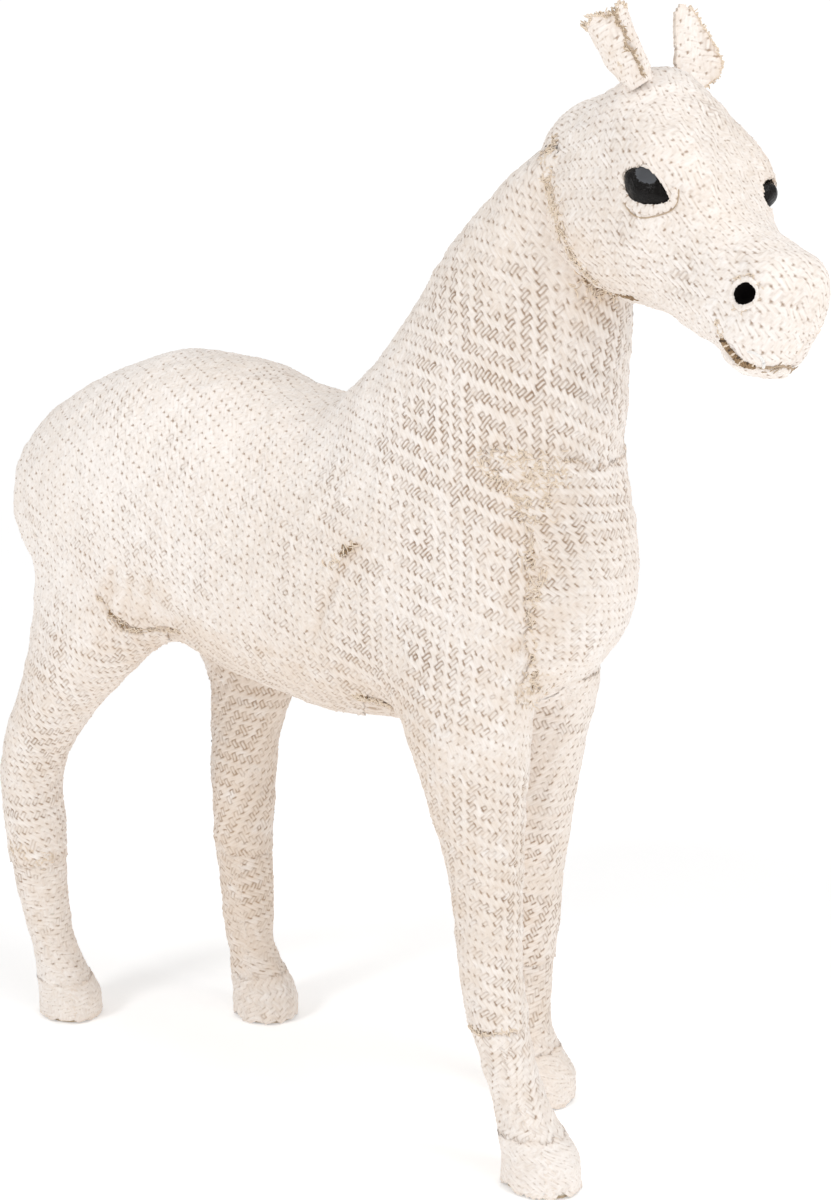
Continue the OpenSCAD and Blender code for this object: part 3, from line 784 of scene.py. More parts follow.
# ---------------------------------------------------------------- threads
def tubes(paths, radius, sides=5):
    """Closed tapering tubes along (k, m, 3) paths; one radius per path."""
    paths = np.asarray(paths, float)
    k, m, _ = paths.shape
    d = np.gradient(paths, axis=1)
    d /= np.linalg.norm(d, axis=2)[..., None] + 1e-9
    ref = np.where(np.abs(d[..., 2:3]) < 0.8, np.array([0, 0, 1.0]), np.array([1.0, 0, 0]))
    s = np.cross(d, ref)
    s /= np.linalg.norm(s, axis=2)[..., None] + 1e-9
    w = np.cross(d, s)
    th = np.arange(sides) * 2 * math.pi / sides
    tap = np.ones(m)
    tap[0] = tap[-1] = 0.12
    rr = (np.asarray(radius, float).reshape(-1, 1) * tap)[..., None, None]
    v = paths[:, :, None] + rr * (np.cos(th)[:, None] * s[:, :, None] + np.sin(th)[:, None] * w[:, :, None])
    idx = np.arange(k * m * sides).reshape(k, m, sides)
    nx = np.roll(idx, -1, axis=2)
    q = np.stack([idx[:, :-1], nx[:, :-1], nx[:, 1:], idx[:, 1:]], -1).reshape(-1, 4)
    o = Cloth()
    o.v = v.reshape(-1, 3)
    o.q = q
    n = (v - paths[:, :, None]).reshape(-1, 3)
    o.shade = n / (np.linalg.norm(n, axis=1)[:, None] + 1e-9)
    along = np.broadcast_to(np.arange(m)[None, :, None], (k, m, sides)).reshape(-1)
    o.uv = np.stack([np.tile(np.arange(sides) / sides, k * m), along * 0.7], 1)
    o.cav = np.zeros(len(o.v))
    r = np.random.default_rng(k * 31 + m)
    o.tint = np.repeat(r.normal(size=k), m * sides)
    o.edge = np.ones(len(o.v))
    o.face_up = np.ones(len(o.q))
    o.mat = 1
    return o


def fray(c, where, count, length, seed, radius=0.28, out=0.5):
    """Loose yarn ends from the rim of a finished cloth, where the rule says."""
    r = np.random.default_rng(seed)
    rim = c.rim
    mid = (c.v[rim[:, 0]] + c.v[rim[:, 1]]) / 2
    k = np.nonzero(where(mid))[0]
    if not len(k):
        return None
    k = r.choice(k, size=min(count, len(k)), replace=False)
    p, n = mid[k], c.vn[rim[k, 0]]
    along = c.v[rim[k, 1]] - c.v[rim[k, 0]]
    along /= np.linalg.norm(along, axis=1)[:, None] + 1e-9
    outward = np.cross(along, n)
    ln = length * r.uniform(0.35, 1.0, len(k))[:, None]
    side = r.normal(size=(len(k), 1)) * 0.8
    up = r.uniform(-0.05, 0.35, (len(k), 1))
    curl = r.normal(size=(len(k), 3)) * 0.35
    paths = []
    for t in np.linspace(-0.35, 1, 7):
        paths.append(p + ln * (outward * out * t + along * side * t * abs(t) * 0.9 + n * (0.15 + up * t) + curl * (t ** 3) * 0.6) - n * 0.3)
    return tubes(np.stack(paths, 1), r.uniform(0.7, 1.3, len(k)) * radius)


def along_path(pts, step, closed=False):
    pts = np.asarray(pts, float)
    if closed:
        pts = np.concatenate([pts, pts[:1]])
    for _ in range(2):  # rounds the corners
        mid = (pts[1:] + pts[:-1]) / 2
        pts = np.concatenate([pts[:1], mid, pts[-1:]]) if not closed else np.concatenate([mid[-1:], mid])
        fine = np.empty((len(pts) * 2 - 1, 3))
        fine[::2], fine[1::2] = pts, (pts[1:] + pts[:-1]) / 2
        pts = fine
    ln = np.concatenate([[0], np.cumsum(np.linalg.norm(np.diff(pts, axis=0), axis=1))])
    n = max(int(round(ln[-1] / step)), 4)
    return np.stack([np.interp(np.linspace(0, ln[-1], n + 1), ln, pts[:, k]) for k in range(3)], 1)


def scatter(path, width, count, length, sdf, seed, radius=0.36, lift=0.6, mat=1, across=0.0):
    """Loose crumpled yarn lying on the skin round a line. across turns the ends to stand across it."""
    r = np.random.default_rng(seed)
    line = along_path(path, 1.0)
    k = r.integers(0, len(line), count)
    at = line[k] + r.normal(size=(count, 3)) * width
    n = normals_of(sdf, at)
    at = settle(sdf, at, n, rounds=6, cap=6)
    n = normals_of(sdf, at)
    d = r.normal(size=(count, 3))
    d += across * np.cross(n, np.gradient(line, axis=0)[k])
    d -= n * (d * n).sum(1)[:, None]
    d /= np.linalg.norm(d, axis=1)[:, None]
    side = np.cross(n, d)
    ln = (length * r.uniform(0.5, 1.0, count))[:, None]
    bend = r.normal(size=(count, 1)) * 0.9
    high = lift * r.uniform(0.4, 1.2, (count, 1))
    pts = []
    for t in np.linspace(-0.5, 0.5, 7):
        pts.append(at + d * ln * t + side * ln * bend * (t * t - 0.08) + n * (0.2 + high * (1 - 4 * t * t)))
    o = tubes(np.stack(pts, 1), radius * r.uniform(0.7, 1.3, count))
    o.mat = mat
    return o


# ---------------------------------------------------------------- objects
def build(name, parts, materials, node=(), body="figure"):
    parts = [o for o in parts if o is not None and len(o.q)]
    v = to_row(np.concatenate([o.v for o in parts]))
    start = np.cumsum([0] + [len(o.v) for o in parts])
    q = np.concatenate([o.q + s for o, s in zip(parts, start)])
    mat = np.concatenate([np.full(len(o.q), getattr(o, "mat", 0)) for o in parts])
    me = bpy.data.meshes.new(name)
    me.vertices.add(len(v))
    me.vertices.foreach_set("co", v.ravel())
    me.loops.add(len(q) * 4)
    me.loops.foreach_set("vertex_index", q.ravel().astype(np.int32))
    me.polygons.add(len(q))
    me.polygons.foreach_set("loop_start", np.arange(0, len(q) * 4, 4, dtype=np.int32))
    me.polygons.foreach_set("loop_total", np.full(len(q), 4, np.int32))
    for m in materials:
        me.materials.append(m)
    me.polygons.foreach_set("material_index", mat.astype(np.int32))
    me.update(calc_edges=True)
    me.polygons.foreach_set("use_smooth", np.ones(len(q), bool))
    uv = np.concatenate([o.uv for o in parts])
    layer = me.uv_layers.new(name="yarns")
    layer.data.foreach_set("uv", uv[q.ravel()].ravel().astype(np.float32))
    for k in ("cav", "tint", "edge"):
        at = me.attributes.new(k, "FLOAT", "POINT")
        at.data.foreach_set("value", np.concatenate([getattr(o, k) for o in parts]).astype(np.float32))
    at = me.attributes.new("warp", "FLOAT", "FACE")
    at.data.foreach_set("value", np.concatenate([o.face_up for o in parts]).astype(np.float32))
    me.normals_split_custom_set_from_vertices(np.concatenate([o.shade for o in parts]).astype(np.float32))
    ob = bpy.data.objects.new(name, me)
    bpy.context.scene.collection.objects.link(ob)
    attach(ob, body)
    if node:
        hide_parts(*node)
    return ob


# ---------------------------------------------------------------- materials
def new_material(name):
    m = bpy.data.materials.new(name)
    m.use_nodes = True
    nt = m.node_tree
    bsdf = next(n for n in nt.nodes if n.type == "BSDF_PRINCIPLED")
    return m, nt, bsdf


def node(nt, kind, **sets):
    n = nt.nodes.new(kind)
    for k, val in sets.items():
        if k.startswith("in_"):
            n.inputs[int(k[3:])].default_value = val
        else:
            setattr(n, k, val)
    return n


def cloth_material(name, high, low, gap, gap_amount=0.8):
    m, nt, bsdf = new_material(name)
    ln = nt.links.new
    uvn = node(nt, "ShaderNodeUVMap", uv_map="yarns")
    cav = node(nt, "ShaderNodeAttribute", attribute_name="cav")
    tint = node(nt, "ShaderNodeAttribute", attribute_name="tint")
    edge = node(nt, "ShaderNodeAttribute", attribute_name="edge")
    warp = node(nt, "ShaderNodeAttribute", attribute_name="warp")
    # fibres run along whichever yarn is on top
    stripes = []
    for sc in ((2.6, 0.6, 1.0), (0.6, 2.4, 1.0)):
        mp = node(nt, "ShaderNodeMapping")
        mp.inputs["Scale"].default_value = sc
        ln(uvn.outputs[0], mp.inputs[0])
        nz = node(nt, "ShaderNodeTexNoise")
        nz.inputs["Scale"].default_value = 1.0
        nz.inputs["Detail"].default_value = 2.0
        ln(mp.outputs[0], nz.inputs["Vector"])
        stripes.append(nz)
    fib = node(nt, "ShaderNodeMix", data_type="FLOAT")
    ln(warp.outputs["Fac"], fib.inputs[0])
    ln(stripes[1].outputs[0], fib.inputs[2])
    ln(stripes[0].outputs[0], fib.inputs[3])
    geo = node(nt, "ShaderNodeTexCoord")
    big = node(nt, "ShaderNodeTexNoise")
    big.inputs["Scale"].default_value = 9.0
    big.inputs["Detail"].default_value = 4.0
    ln(geo.outputs["Object"], big.inputs["Vector"])
    # tone of the yarn
    tone = node(nt, "ShaderNodeMath", operation="MULTIPLY_ADD")
    ln(tint.outputs["Fac"], tone.inputs[0])
    tone.inputs[1].default_value = 0.10
    ln(big.outputs[0], tone.inputs[2])
    tone2 = node(nt, "ShaderNodeMath", operation="MULTIPLY_ADD")
    ln(fib.outputs[0], tone2.inputs[0])
    tone2.inputs[1].default_value = 1.0
    ln(tone.outputs[0], tone2.inputs[2])
    rng = node(nt, "ShaderNodeMapRange")
    rng.inputs["From Min"].default_value = 0.62
    rng.inputs["From Max"].default_value = 1.3
    ln(tone2.outputs[0], rng.inputs[0])
    yarn = node(nt, "ShaderNodeMix", data_type="RGBA")
    ln(rng.outputs[0], yarn.inputs[0])
    yarn.inputs[6].default_value = (*low, 1)
    yarn.inputs[7].default_value = (*high, 1)
    # painted shade in the hollows between yarns
    deep = node(nt, "ShaderNodeMapRange", interpolation_type="SMOOTHSTEP")
    deep.inputs["From Min"].default_value = 0.1
    deep.inputs["From Max"].default_value = 1.0
    deep.inputs["To Max"].default_value = gap_amount
    ln(cav.outputs["Fac"], deep.inputs[0])
    col = node(nt, "ShaderNodeMix", data_type="RGBA")
    ln(deep.outputs[0], col.inputs[0])
    ln(yarn.outputs[2], col.inputs[6])
    col.inputs[7].default_value = (*gap, 1)
    # browner near handled cut edges and on stains, and with it painted shade under the belly, on the chest front, under
    # the jaw, at the groin and elbow and in folds, and painted light on the left side
    em = node(nt, "ShaderNodeMath", operation="MULTIPLY")
    ln(edge.outputs["Fac"], em.inputs[0])
    em.inputs[1].default_value = 0.34
    last = node(nt, "ShaderNodeMix", data_type="RGBA")
    ln(em.outputs[0], last.inputs[0])
    ln(col.outputs[2], last.inputs[6])
    last.inputs[7].default_value = (0.68, 0.51, 0.36, 1)
    ln(last.outputs[2], bsdf.inputs["Base Color"])
    ro = node(nt, "ShaderNodeMapRange")
    ro.inputs["To Min"].default_value = 0.82
    ro.inputs["To Max"].default_value = 0.98
    ln(fib.outputs[0], ro.inputs[0])
    ln(ro.outputs[0], bsdf.inputs["Roughness"])
    bump = node(nt, "ShaderNodeBump")
    bump.inputs["Strength"].default_value = 0.6
    bump.inputs["Distance"].default_value = 0.0004
    ln(fib.outputs[0], bump.inputs["Height"])
    ln(bump.outputs[0], bsdf.inputs["Normal"])
    bsdf.inputs["Specular IOR Level"].default_value = 0.25
    bsdf.inputs["Sheen Weight"].default_value = 0.12
    bsdf.inputs["Sheen Roughness"].default_value = 0.5
    return m


def plain_material(name, a, b, scale, rough, bump_depth=0.0, coat=0.0, spec=0.5, metallic=0.0, detail=4.0):
    """Two tones of a solid under fine noise."""
    m, nt, bsdf = new_material(name)
    ln = nt.links.new
    tc = node(nt, "ShaderNodeTexCoord")
    nz = node(nt, "ShaderNodeTexNoise")
    nz.inputs["Scale"].default_value = scale
    nz.inputs["Detail"].default_value = detail
    ln(tc.outputs["Object"], nz.inputs["Vector"])
    mx = node(nt, "ShaderNodeMix", data_type="RGBA")
    ln(nz.outputs[0], mx.inputs[0])
    mx.inputs[6].default_value = (*a, 1)
    mx.inputs[7].default_value = (*b, 1)
    ln(mx.outputs[2], bsdf.inputs["Base Color"])
    ro = node(nt, "ShaderNodeMapRange")
    ro.inputs["To Min"].default_value = max(rough - 0.08, 0.02)
    ro.inputs["To Max"].default_value = min(rough + 0.08, 1.0)
    ln(nz.outputs[0], ro.inputs[0])
    ln(ro.outputs[0], bsdf.inputs["Roughness"])
    if bump_depth:
        bp = node(nt, "ShaderNodeBump")
        bp.inputs["Strength"].default_value = 0.4
        bp.inputs["Distance"].default_value = bump_depth
        ln(nz.outputs[0], bp.inputs["Height"])
        ln(bp.outputs[0], bsdf.inputs["Normal"])
    bsdf.inputs["Specular IOR Level"].default_value = spec
    bsdf.inputs["Coat Weight"].default_value = coat
    bsdf.inputs["Metallic"].default_value = metallic
    return m


# the third colour is the painted shade of the hollows between yarns
CLOTH = cloth_material("woven_cloth", (0.945, 0.895, 0.855), (0.79, 0.70, 0.62), (0.28, 0.165, 0.09), 0.84)
THREAD = plain_material("loose_yarn", (0.74, 0.60, 0.45), (0.84, 0.74, 0.63), 400.0, 0.9, 0.0002, spec=0.2)
# brown twine of the mouth braid, also the dark loose bits on the covers, which are partly painted shade in crumpled
# cloth
BROWN = plain_material("brown_twine", (0.20, 0.12, 0.06), (0.42, 0.29, 0.17), 500.0, 0.8, 0.0003, spec=0.3)
DARK = plain_material("dark_twine", (0.05, 0.032, 0.02), (0.15, 0.10, 0.06), 500.0, 0.85, 0.0002, spec=0.2)
# tan yarn at the ear's fold and by the mouth, also thin tubes of painted shade along the crease under the eye and the
# mouth's line
TAN = plain_material("tan_yarn_and_shade_lines", (0.42, 0.31, 0.21), (0.58, 0.46, 0.34), 400.0, 0.9, 0.0002, spec=0.2)
WHITE = plain_material("white_yarn", (0.80, 0.78, 0.75), (0.90, 0.88, 0.85), 400.0, 0.9, 0.0002, spec=0.2)
BLACK = plain_material("eye_black", (0.001, 0.001, 0.001), (0.010, 0.008, 0.007), 800.0, 0.2, 0.0012, spec=0.14)
# the eye's black made glossier and lighter grey-blue for its flat face: the lighter colour is painted sheen
POLISH_AND_SHEEN = plain_material("eye_polish_and_painted_sheen", (0.012, 0.013, 0.016), (0.085, 0.09, 0.10), 110.0, 0.22, spec=0.3, detail=1.0)
HOLE = plain_material("nostril_black", (0.004, 0.003, 0.003), (0.012, 0.010, 0.009), 300.0, 0.9, 0.0002, spec=0.05)
PAPER = plain_material("papier_mache", (0.60, 0.55, 0.47), (0.74, 0.69, 0.60), 60.0, 0.9, 0.0006)
CARD = plain_material("card", (0.42, 0.32, 0.21), (0.56, 0.45, 0.32), 120.0, 0.85, 0.0003)
WIRE = plain_material("steel_wire", (0.42, 0.42, 0.43), (0.58, 0.58, 0.60), 300.0, 0.38, 0.0002, metallic=1.0)
TAPE = plain_material("paper_tape", (0.70, 0.62, 0.47), (0.80, 0.73, 0.60), 90.0, 0.8, 0.0003)

# ---------------------------------------------------------------- where each cloth goes
LEG_SIDE = {"rf": -1, "rh": -1, "lf": 1, "lh": 1}
CUFF = {"rf": 84.0, "lf": 84.0, "rh": 96.0, "lh": 104.0}
HOOF = {"rf": 30.0, "lf": 30.0, "rh": 24.0, "lh": 28.0}


def leg_angle(p, leg):
    xc, yc, a, b = LEGS[leg](p[:, 2])
    return np.arctan2((p[:, 1] - yc) / b, (p[:, 0] - xc) / a), np.sqrt((a * a + b * b) / 2)


def arc(phi, mid):
    return (phi - math.radians(mid) + math.pi) % (2 * math.pi) - math.pi


def soft(x, k):
    return 1 / (1 + np.exp(-np.clip(x / k, -30, 30)))


def chest_field(p, left=True):
    """Over 0 on the chest piece: ahead of the ragged seam and below its top edge, on the left also over the root of the leg."""
    x, y, z = p.T
    seam = np.interp(z, [232, 250, 261, 292, 324, 344, 363, 373, 387], [120, 117, 118, 121, 122, 122, 114, 106, 94])
    top = np.interp(y, [-48, -40, -28, -7, 10, 40], [389, 387, 384, 378, 378, 384])
    if left:
        seam = seam + (np.interp(z, [232, 250, 262, 290, 324], [80, 84, 93, 112, 121]) - seam) * soft(y - 8, 3)
    return np.minimum(np.minimum(x - seam, top - z), (z - 236) * 0.8)


def side_field(p, side):
    """Over 0 on the side panel: flank, half the neck and the outsides of two legs."""
    x, y, z = p.T
    dt, dn = d_torso(p), d_neck(p)
    top, bot, w = TORSO(x)
    mid = bot + (top - bot) * 0.47
    th = np.degrees(np.arctan2(z - mid, y * side * 1.0))
    low = np.interp(x, [-250, -215, -105, -75, 0, 26, 50, 120], [-15, -30, -44, -82, -80, -48, -40, -40])
    # the top seam lies on the left, where the photograph can't see it
    over = 26 if side < 0 else -21
    crest = np.interp(x, [-250, -215, -150], [4 if side < 0 else 0, 10 if side < 0 else -6, over])
    crest = np.where(z > mid, crest, 3.0)
    m_t = np.minimum(crest + side * -1 * 0 - y, 999) if side < 0 else y + crest
    m_t = np.minimum(m_t, (th - low) * w * 0.0175)
    m_n = (24 - y) if side < 0 else (y - 19)
    is_neck = soft(dt - dn, 5)
    m = (1 - is_neck) * m_t + is_neck * m_n
    for leg in LEGS:
        if LEG_SIDE[leg] != side:
            continue
        dl = d_leg(p, leg)
        phi, r = leg_angle(p, leg)
        reach = (math.radians(116) - np.abs(arc(phi, -62))) if side < 0 else (math.radians(82) - np.abs(arc(phi, 122)))
        m_l = np.minimum(reach * r, z - CUFF[leg])
        is_leg = soft(dt - dl, 5) * soft(300 - z, 6)
        m = (1 - is_leg) * m + is_leg * m_l
    m = np.minimum(m, 7 - chest_field(p, side > 0))
    return np.minimum(m, d_head(p) + 4)


def under_field(p):
    x, y, z = p.T
    top, bot, w = TORSO(x)
    mid = bot + (top - bot) * 0.47
    th = np.degrees(np.arctan2(z - mid, np.abs(y)))
    return np.minimum((np.interp(x, [-250, -220, -180], [6, -6, -26]) - th) * w * 0.0175, 140 - x)


def which(p):
    """0 torso, 1 neck, 2.. legs."""
    dt, dn = d_torso(p), d_neck(p)
    lab = np.where(dn < dt, 1, 0)
    legs = np.stack([d_leg(p, leg) for leg in LEGS])
    near = legs.min(0)
    return np.where((near < dt) & (near < dn) & (p[:, 2] < 262), 2 + legs.argmin(0), lab)


H = 8.0
body_mesh = grid_mesh(d_body, (-262, -84, 60), (168, 84, 548), H)
trunk_mesh = grid_mesh(d_torso, (-262, -84, 200), (160, 84, 420), 9.0)

right = panel(body_mesh, d_body, lambda p: side_field(p, -1), (85, -45, 420), seen((85, -45, 420), d_body, 50), skew=15, phase=(3, -13))
finish_cloth(right, 0.1, lift=0.15, seed=11)
left = panel(body_mesh, d_body, lambda p: side_field(p, 1), (85, 45, 420), (0.6, 0, 0.8), skew=-12)
finish_cloth(left, -0.3, seed=12)
chest = panel(body_mesh, d_body, chest_field, (140, -5, 330), seen((140, -5, 330), d_body, 68), pitch=(3.8, 2.5))
finish_cloth(chest, -1.0 + 1.5 * soft(chest.p[..., 2] - 262, 5), rag=2.4, lift=0.35, seed=13)
under = panel(trunk_mesh, d_torso, under_field, (-30, 0, 225), (0.2, 0.98, 0))
close = under.ok & (d_body(under.p.reshape(-1, 3)).reshape(under.ok.shape) > -6)
under.p[close] = settle(d_body, under.p[close], under.n[close], rounds=2, cap=3)
finish_cloth(under, -0.8, amp=0.35, seed=14)
# a small patch closes the rump's rear end below the two sides
tail = panel(trunk_mesh, d_torso, lambda p: 27 - np.linalg.norm(p - (-243, 6, 313), axis=1), (-247, 2, 314), (0, 0.98, 0.2))
finish_cloth(tail, -0.3, amp=0.35, seed=15)

inner = {}
for leg in LEGS:
    s = LEG_SIDE[leg]
    mid_deg, half_deg = (118, 84) if s < 0 else (-58, 112)
    top_z = {"rf": 252, "lf": 252, "rh": 294, "lh": 294}[leg]
    c = strip(leg, CUFF[leg] - 3, top_z, mid_deg, half_deg, d_body, turn=28 if s > 0 else -20, phase=(3, 7))
    inner[leg] = finish_cloth(c, -0.9 if s < 0 else 0.2, amp=0.5, lift=0.1, seed=20 + len(inner))

lower, hoof = {}, {}
for k, leg in enumerate(LEGS):
    c = strip(leg, HOOF[leg] - 4, CUFF[leg] + 5, 130 if LEG_SIDE[leg] < 0 else 110, 180, d_body, pitch=(3.9, 2.6), turn=35 - 20 * k, phase=(k, 3 * k), over=3)
    lower[leg] = finish_cloth(c, -0.6, amp=0.5, rag=1.2, seed=30 + k, mark=0.85, ridge=0.8)
    c = strip(leg, 0.6, HOOF[leg], 130 if LEG_SIDE[leg] < 0 else 110, 180, lambda p: d_leg(p, leg), pitch=(3.7, 2.5), turn=-40 + 25 * k, phase=(2 * k, k), over=3)
    hoof[leg] = finish_cloth(c, 0.1, amp=0.5, rag=1.4, lift=0.2, seed=40 + k, mark=0.5, ridge=1.0)

neck_r, neck_l = split(right, which, 1), split(left, which, 1)
FLANK = [(14, -64, 318), (20, -64, 326), (25, -63, 331), (31, -63, 333)]
ELBOW = [(20, -50, 248), (27, -48, 247), (34, -46, 246), (41, -43, 244)]
GROIN = CREASES[0][0]
SEAM = [(96, -49, 384), (102, -48, 372), (114, -43, 366), (121, -43, 350), (122, -44, 336), (125, -42, 325), (124, -43, 310), (123, -42, 294), (122, -38, 278), (119, -39, 262)]
PATCH = [(104, -45, 383), (113, -41, 378), (123, -35, 378), (131, -26, 382), (127, -34, 366), (119, -41, 364)]
COLLAR = [(118, -20, 536), (117, -25, 531), (119, -29, 526), (121, -32, 517), (127, -37, 509), (134, -42, 499), (141, -43, 489), (146, -42, 482), (151, -40, 476), (154, -34, 471)]
d_all = lambda p: np.minimum(d_body(p), d_head(p))
# brown bits at the flank tear and the elbow are partly painted shade in the crumpled cloth
build("cloth_torso_right", [split(right, which, 0), under, tail, scatter(FLANK, 1.2, 26, 6, d_body, 101), scatter(FLANK[1:], 0.9, 12, 4, d_body, 102, radius=0.45, lift=0.2, mat=2),
                            scatter(ELBOW, 1.6, 60, 5.5, d_body, 103), scatter(ELBOW, 1.0, 12, 5, d_body, 104, lift=0.2, mat=2)], [CLOTH, THREAD, BROWN], ["torso_cover_right"])
build("cloth_torso_left", [split(left, which, 0)], [CLOTH, THREAD], ["torso_cover_left"])
# brown bits under the jaw are partly painted shade where the head overhangs the throat
build("cloth_neck", [neck_r, neck_l, scatter([(137, -27, 472), (141, -19, 467), (144, -12, 464), (146, -5, 461)], 3.2, 70, 5.5, d_body, 105, radius=0.32), scatter([(138, -25, 474), (142, -17, 469), (145, -9, 465)], 1.8, 40, 5, d_body, 106, radius=0.34, lift=0.3, mat=2)],
      [CLOTH, THREAD, BROWN], ["neck_cover"])
# brown bits along the chest seam are partly painted shade
build("cloth_chest", [chest, fray(chest, lambda p: (p[:, 2] > 255) & (p[:, 1] < -20), 150, 3.6, 3, radius=0.32), scatter(SEAM, 3.4, 300, 6, d_body, 107, radius=0.3, lift=0.4, across=0.6),
                      scatter(PATCH, 4.5, 210, 6.5, d_body, 108, radius=0.34, lift=0.5), scatter(SEAM[3:], 1.0, 22, 4, d_body, 109, radius=0.36, lift=0.1, mat=2)],
      [CLOTH, THREAD, BROWN], ["chest_cover"])
for k, leg in enumerate(LEGS):
    flap = split(right if LEG_SIDE[leg] < 0 else left, which, 2 + k)
    loose, low = [], []
    if leg == "rh":
        # brown bits along the groin crease are partly painted shade in the fold
        loose = [scatter(GROIN, 1.3, 80, 5, d_body, 110, radius=0.3, lift=0.3), scatter(GROIN[1:6], 0.6, 24, 5, d_body, 111, radius=0.32, lift=0.1, mat=2)]
        low = [scatter([(-228, -55, 108), (-221, -56, 104), (-213, -52, 102), (-208, -45, 100)], 2.6, 60, 6, d_body, 112, radius=0.3, lift=0.4)]
    if leg == "rf":
        # brown bits at the cuff's edge are partly painted shade
        low = [scatter([(98, -58, 83), (106, -60, 83), (114, -57, 84), (120, -50, 85)], 0.9, 34, 4, d_body, 113), scatter([(98, -58, 84), (106, -60, 84), (112, -58, 84)], 0.5, 7, 3, d_body, 114, lift=0.2, mat=2)]
    build("cloth_upper_leg_" + leg, [flap, inner[leg]] + loose, [CLOTH, THREAD, BROWN], ["upper_leg_cover_" + leg])
    build("cloth_lower_leg_" + leg, [lower[leg]] + low, [CLOTH, THREAD, BROWN], ["lower_leg_cover_" + leg])
    hoof[leg].v[:, 2] = np.maximum(hoof[leg].v[:, 2], 0.3)
    build("cloth_hoof_" + leg, [hoof[leg]], [CLOTH, THREAD], ["hoof_cover_" + leg])

# ---------------------------------------------------------------- head
head_mesh = grid_mesh(d_head, (90, -80, 430), (310, 80, 600), 5.0)

# outlines of the openings in the head's own frame: right eye and nostrils over forward and up, left eye over left and up
EYE_R = np.array([(50.4, 7.6), (51.0, 10.2), (53.6, 12.8), (59.4, 17.6), (63.6, 16.4), (68.2, 15.2), (77.2, 10.8), (76.4, 8.2), (69.0, 3.6), (61.6, 0.0), (55.2, 2.4)])
EYE_L = np.array([(17.5, 22.6), (21.5, 25.2), (26.5, 25.0), (31.0, 21.0), (32.0, 13.0), (28.5, 11.4), (23.5, 13.4), (19.0, 15.6), (16.0, 18.8)])
NOSTRIL = np.array([(126.2, -6.6), (127.8, -3.0), (131.0, -0.4), (135.4, -0.2), (137.8, -2.6), (137.8, -6.0), (135.0, -9.6), (131.0, -11.4), (127.6, -10.0)])
NOSTRIL = NOSTRIL.mean(0) + (NOSTRIL - NOSTRIL.mean(0)) * 1.12


def inside(x, y, ring):
    """Distance to a closed outline, over 0 inside."""
    q = np.stack([x, y], -1)
    best, hit = np.full(x.shape, 1e9), np.zeros(x.shape, bool)
    for a, b in zip(ring, np.roll(ring, -1, axis=0)):
        e, w = b - a, q - a
        t = np.clip((w @ e) / (e @ e), 0, 1)
        best = np.minimum(best, np.linalg.norm(w - t[..., None] * e, axis=-1))
        x_at = a[0] + (y - a[1]) / (b[1] - a[1] + 1e-12) * e[0]
        hit ^= ((a[1] > y) != (b[1] > y)) & (x < x_at)
    return np.where(hit, best, -best)


def openings(p):
    """Under 0 inside the eye and nostril holes."""
    f, l, u = to_head(p).T
    hole = np.where(l < -8, np.maximum(inside(f, u, EYE_R), inside(f, u, NOSTRIL)), -50.0)
    hole = np.where(l > 8, np.maximum(hole, inside(f, u, NOSTRIL)), hole)
    hole = np.where((f > 64) & (l > 5), np.maximum(hole, inside(l, u, EYE_L)), hole)
    return -hole


def head_field(p, side):
    f, l, u = to_head(p).T
    bound = 5 + 21 * soft(u + 14, 4)  # the seam runs under the jaw and low along the left cheek
    m = (bound - l) if side < 0 else (l - bound + 5)
    return np.minimum(m, d_neck(p) + 5)


head_r = panel(head_mesh, d_head, lambda p: head_field(p, -1), from_head((85, -28, -10))[0], seen(from_head((85, -28, -10))[0], d_head, 58), skew=8, pitch=(3.7, 2.5))
head_r.m = np.minimum(head_r.m, 2.5 * openings(head_r.p.reshape(-1, 3)).reshape(head_r.m.shape))
finish_cloth(head_r, 0.2, amp=0.5, seed=51, ridge=1.2)
head_l = panel(head_mesh, d_head, lambda p: head_field(p, 1), from_head((60, 30, -10))[0], HF * 0.5 + HU * 0.8, pitch=(3.7, 2.5))
head_l.m = np.minimum(head_l.m, 2.5 * openings(head_l.p.reshape(-1, 3)).reshape(head_l.m.shape))
finish_cloth(head_l, -0.3, amp=0.5, seed=52, ridge=1.2)


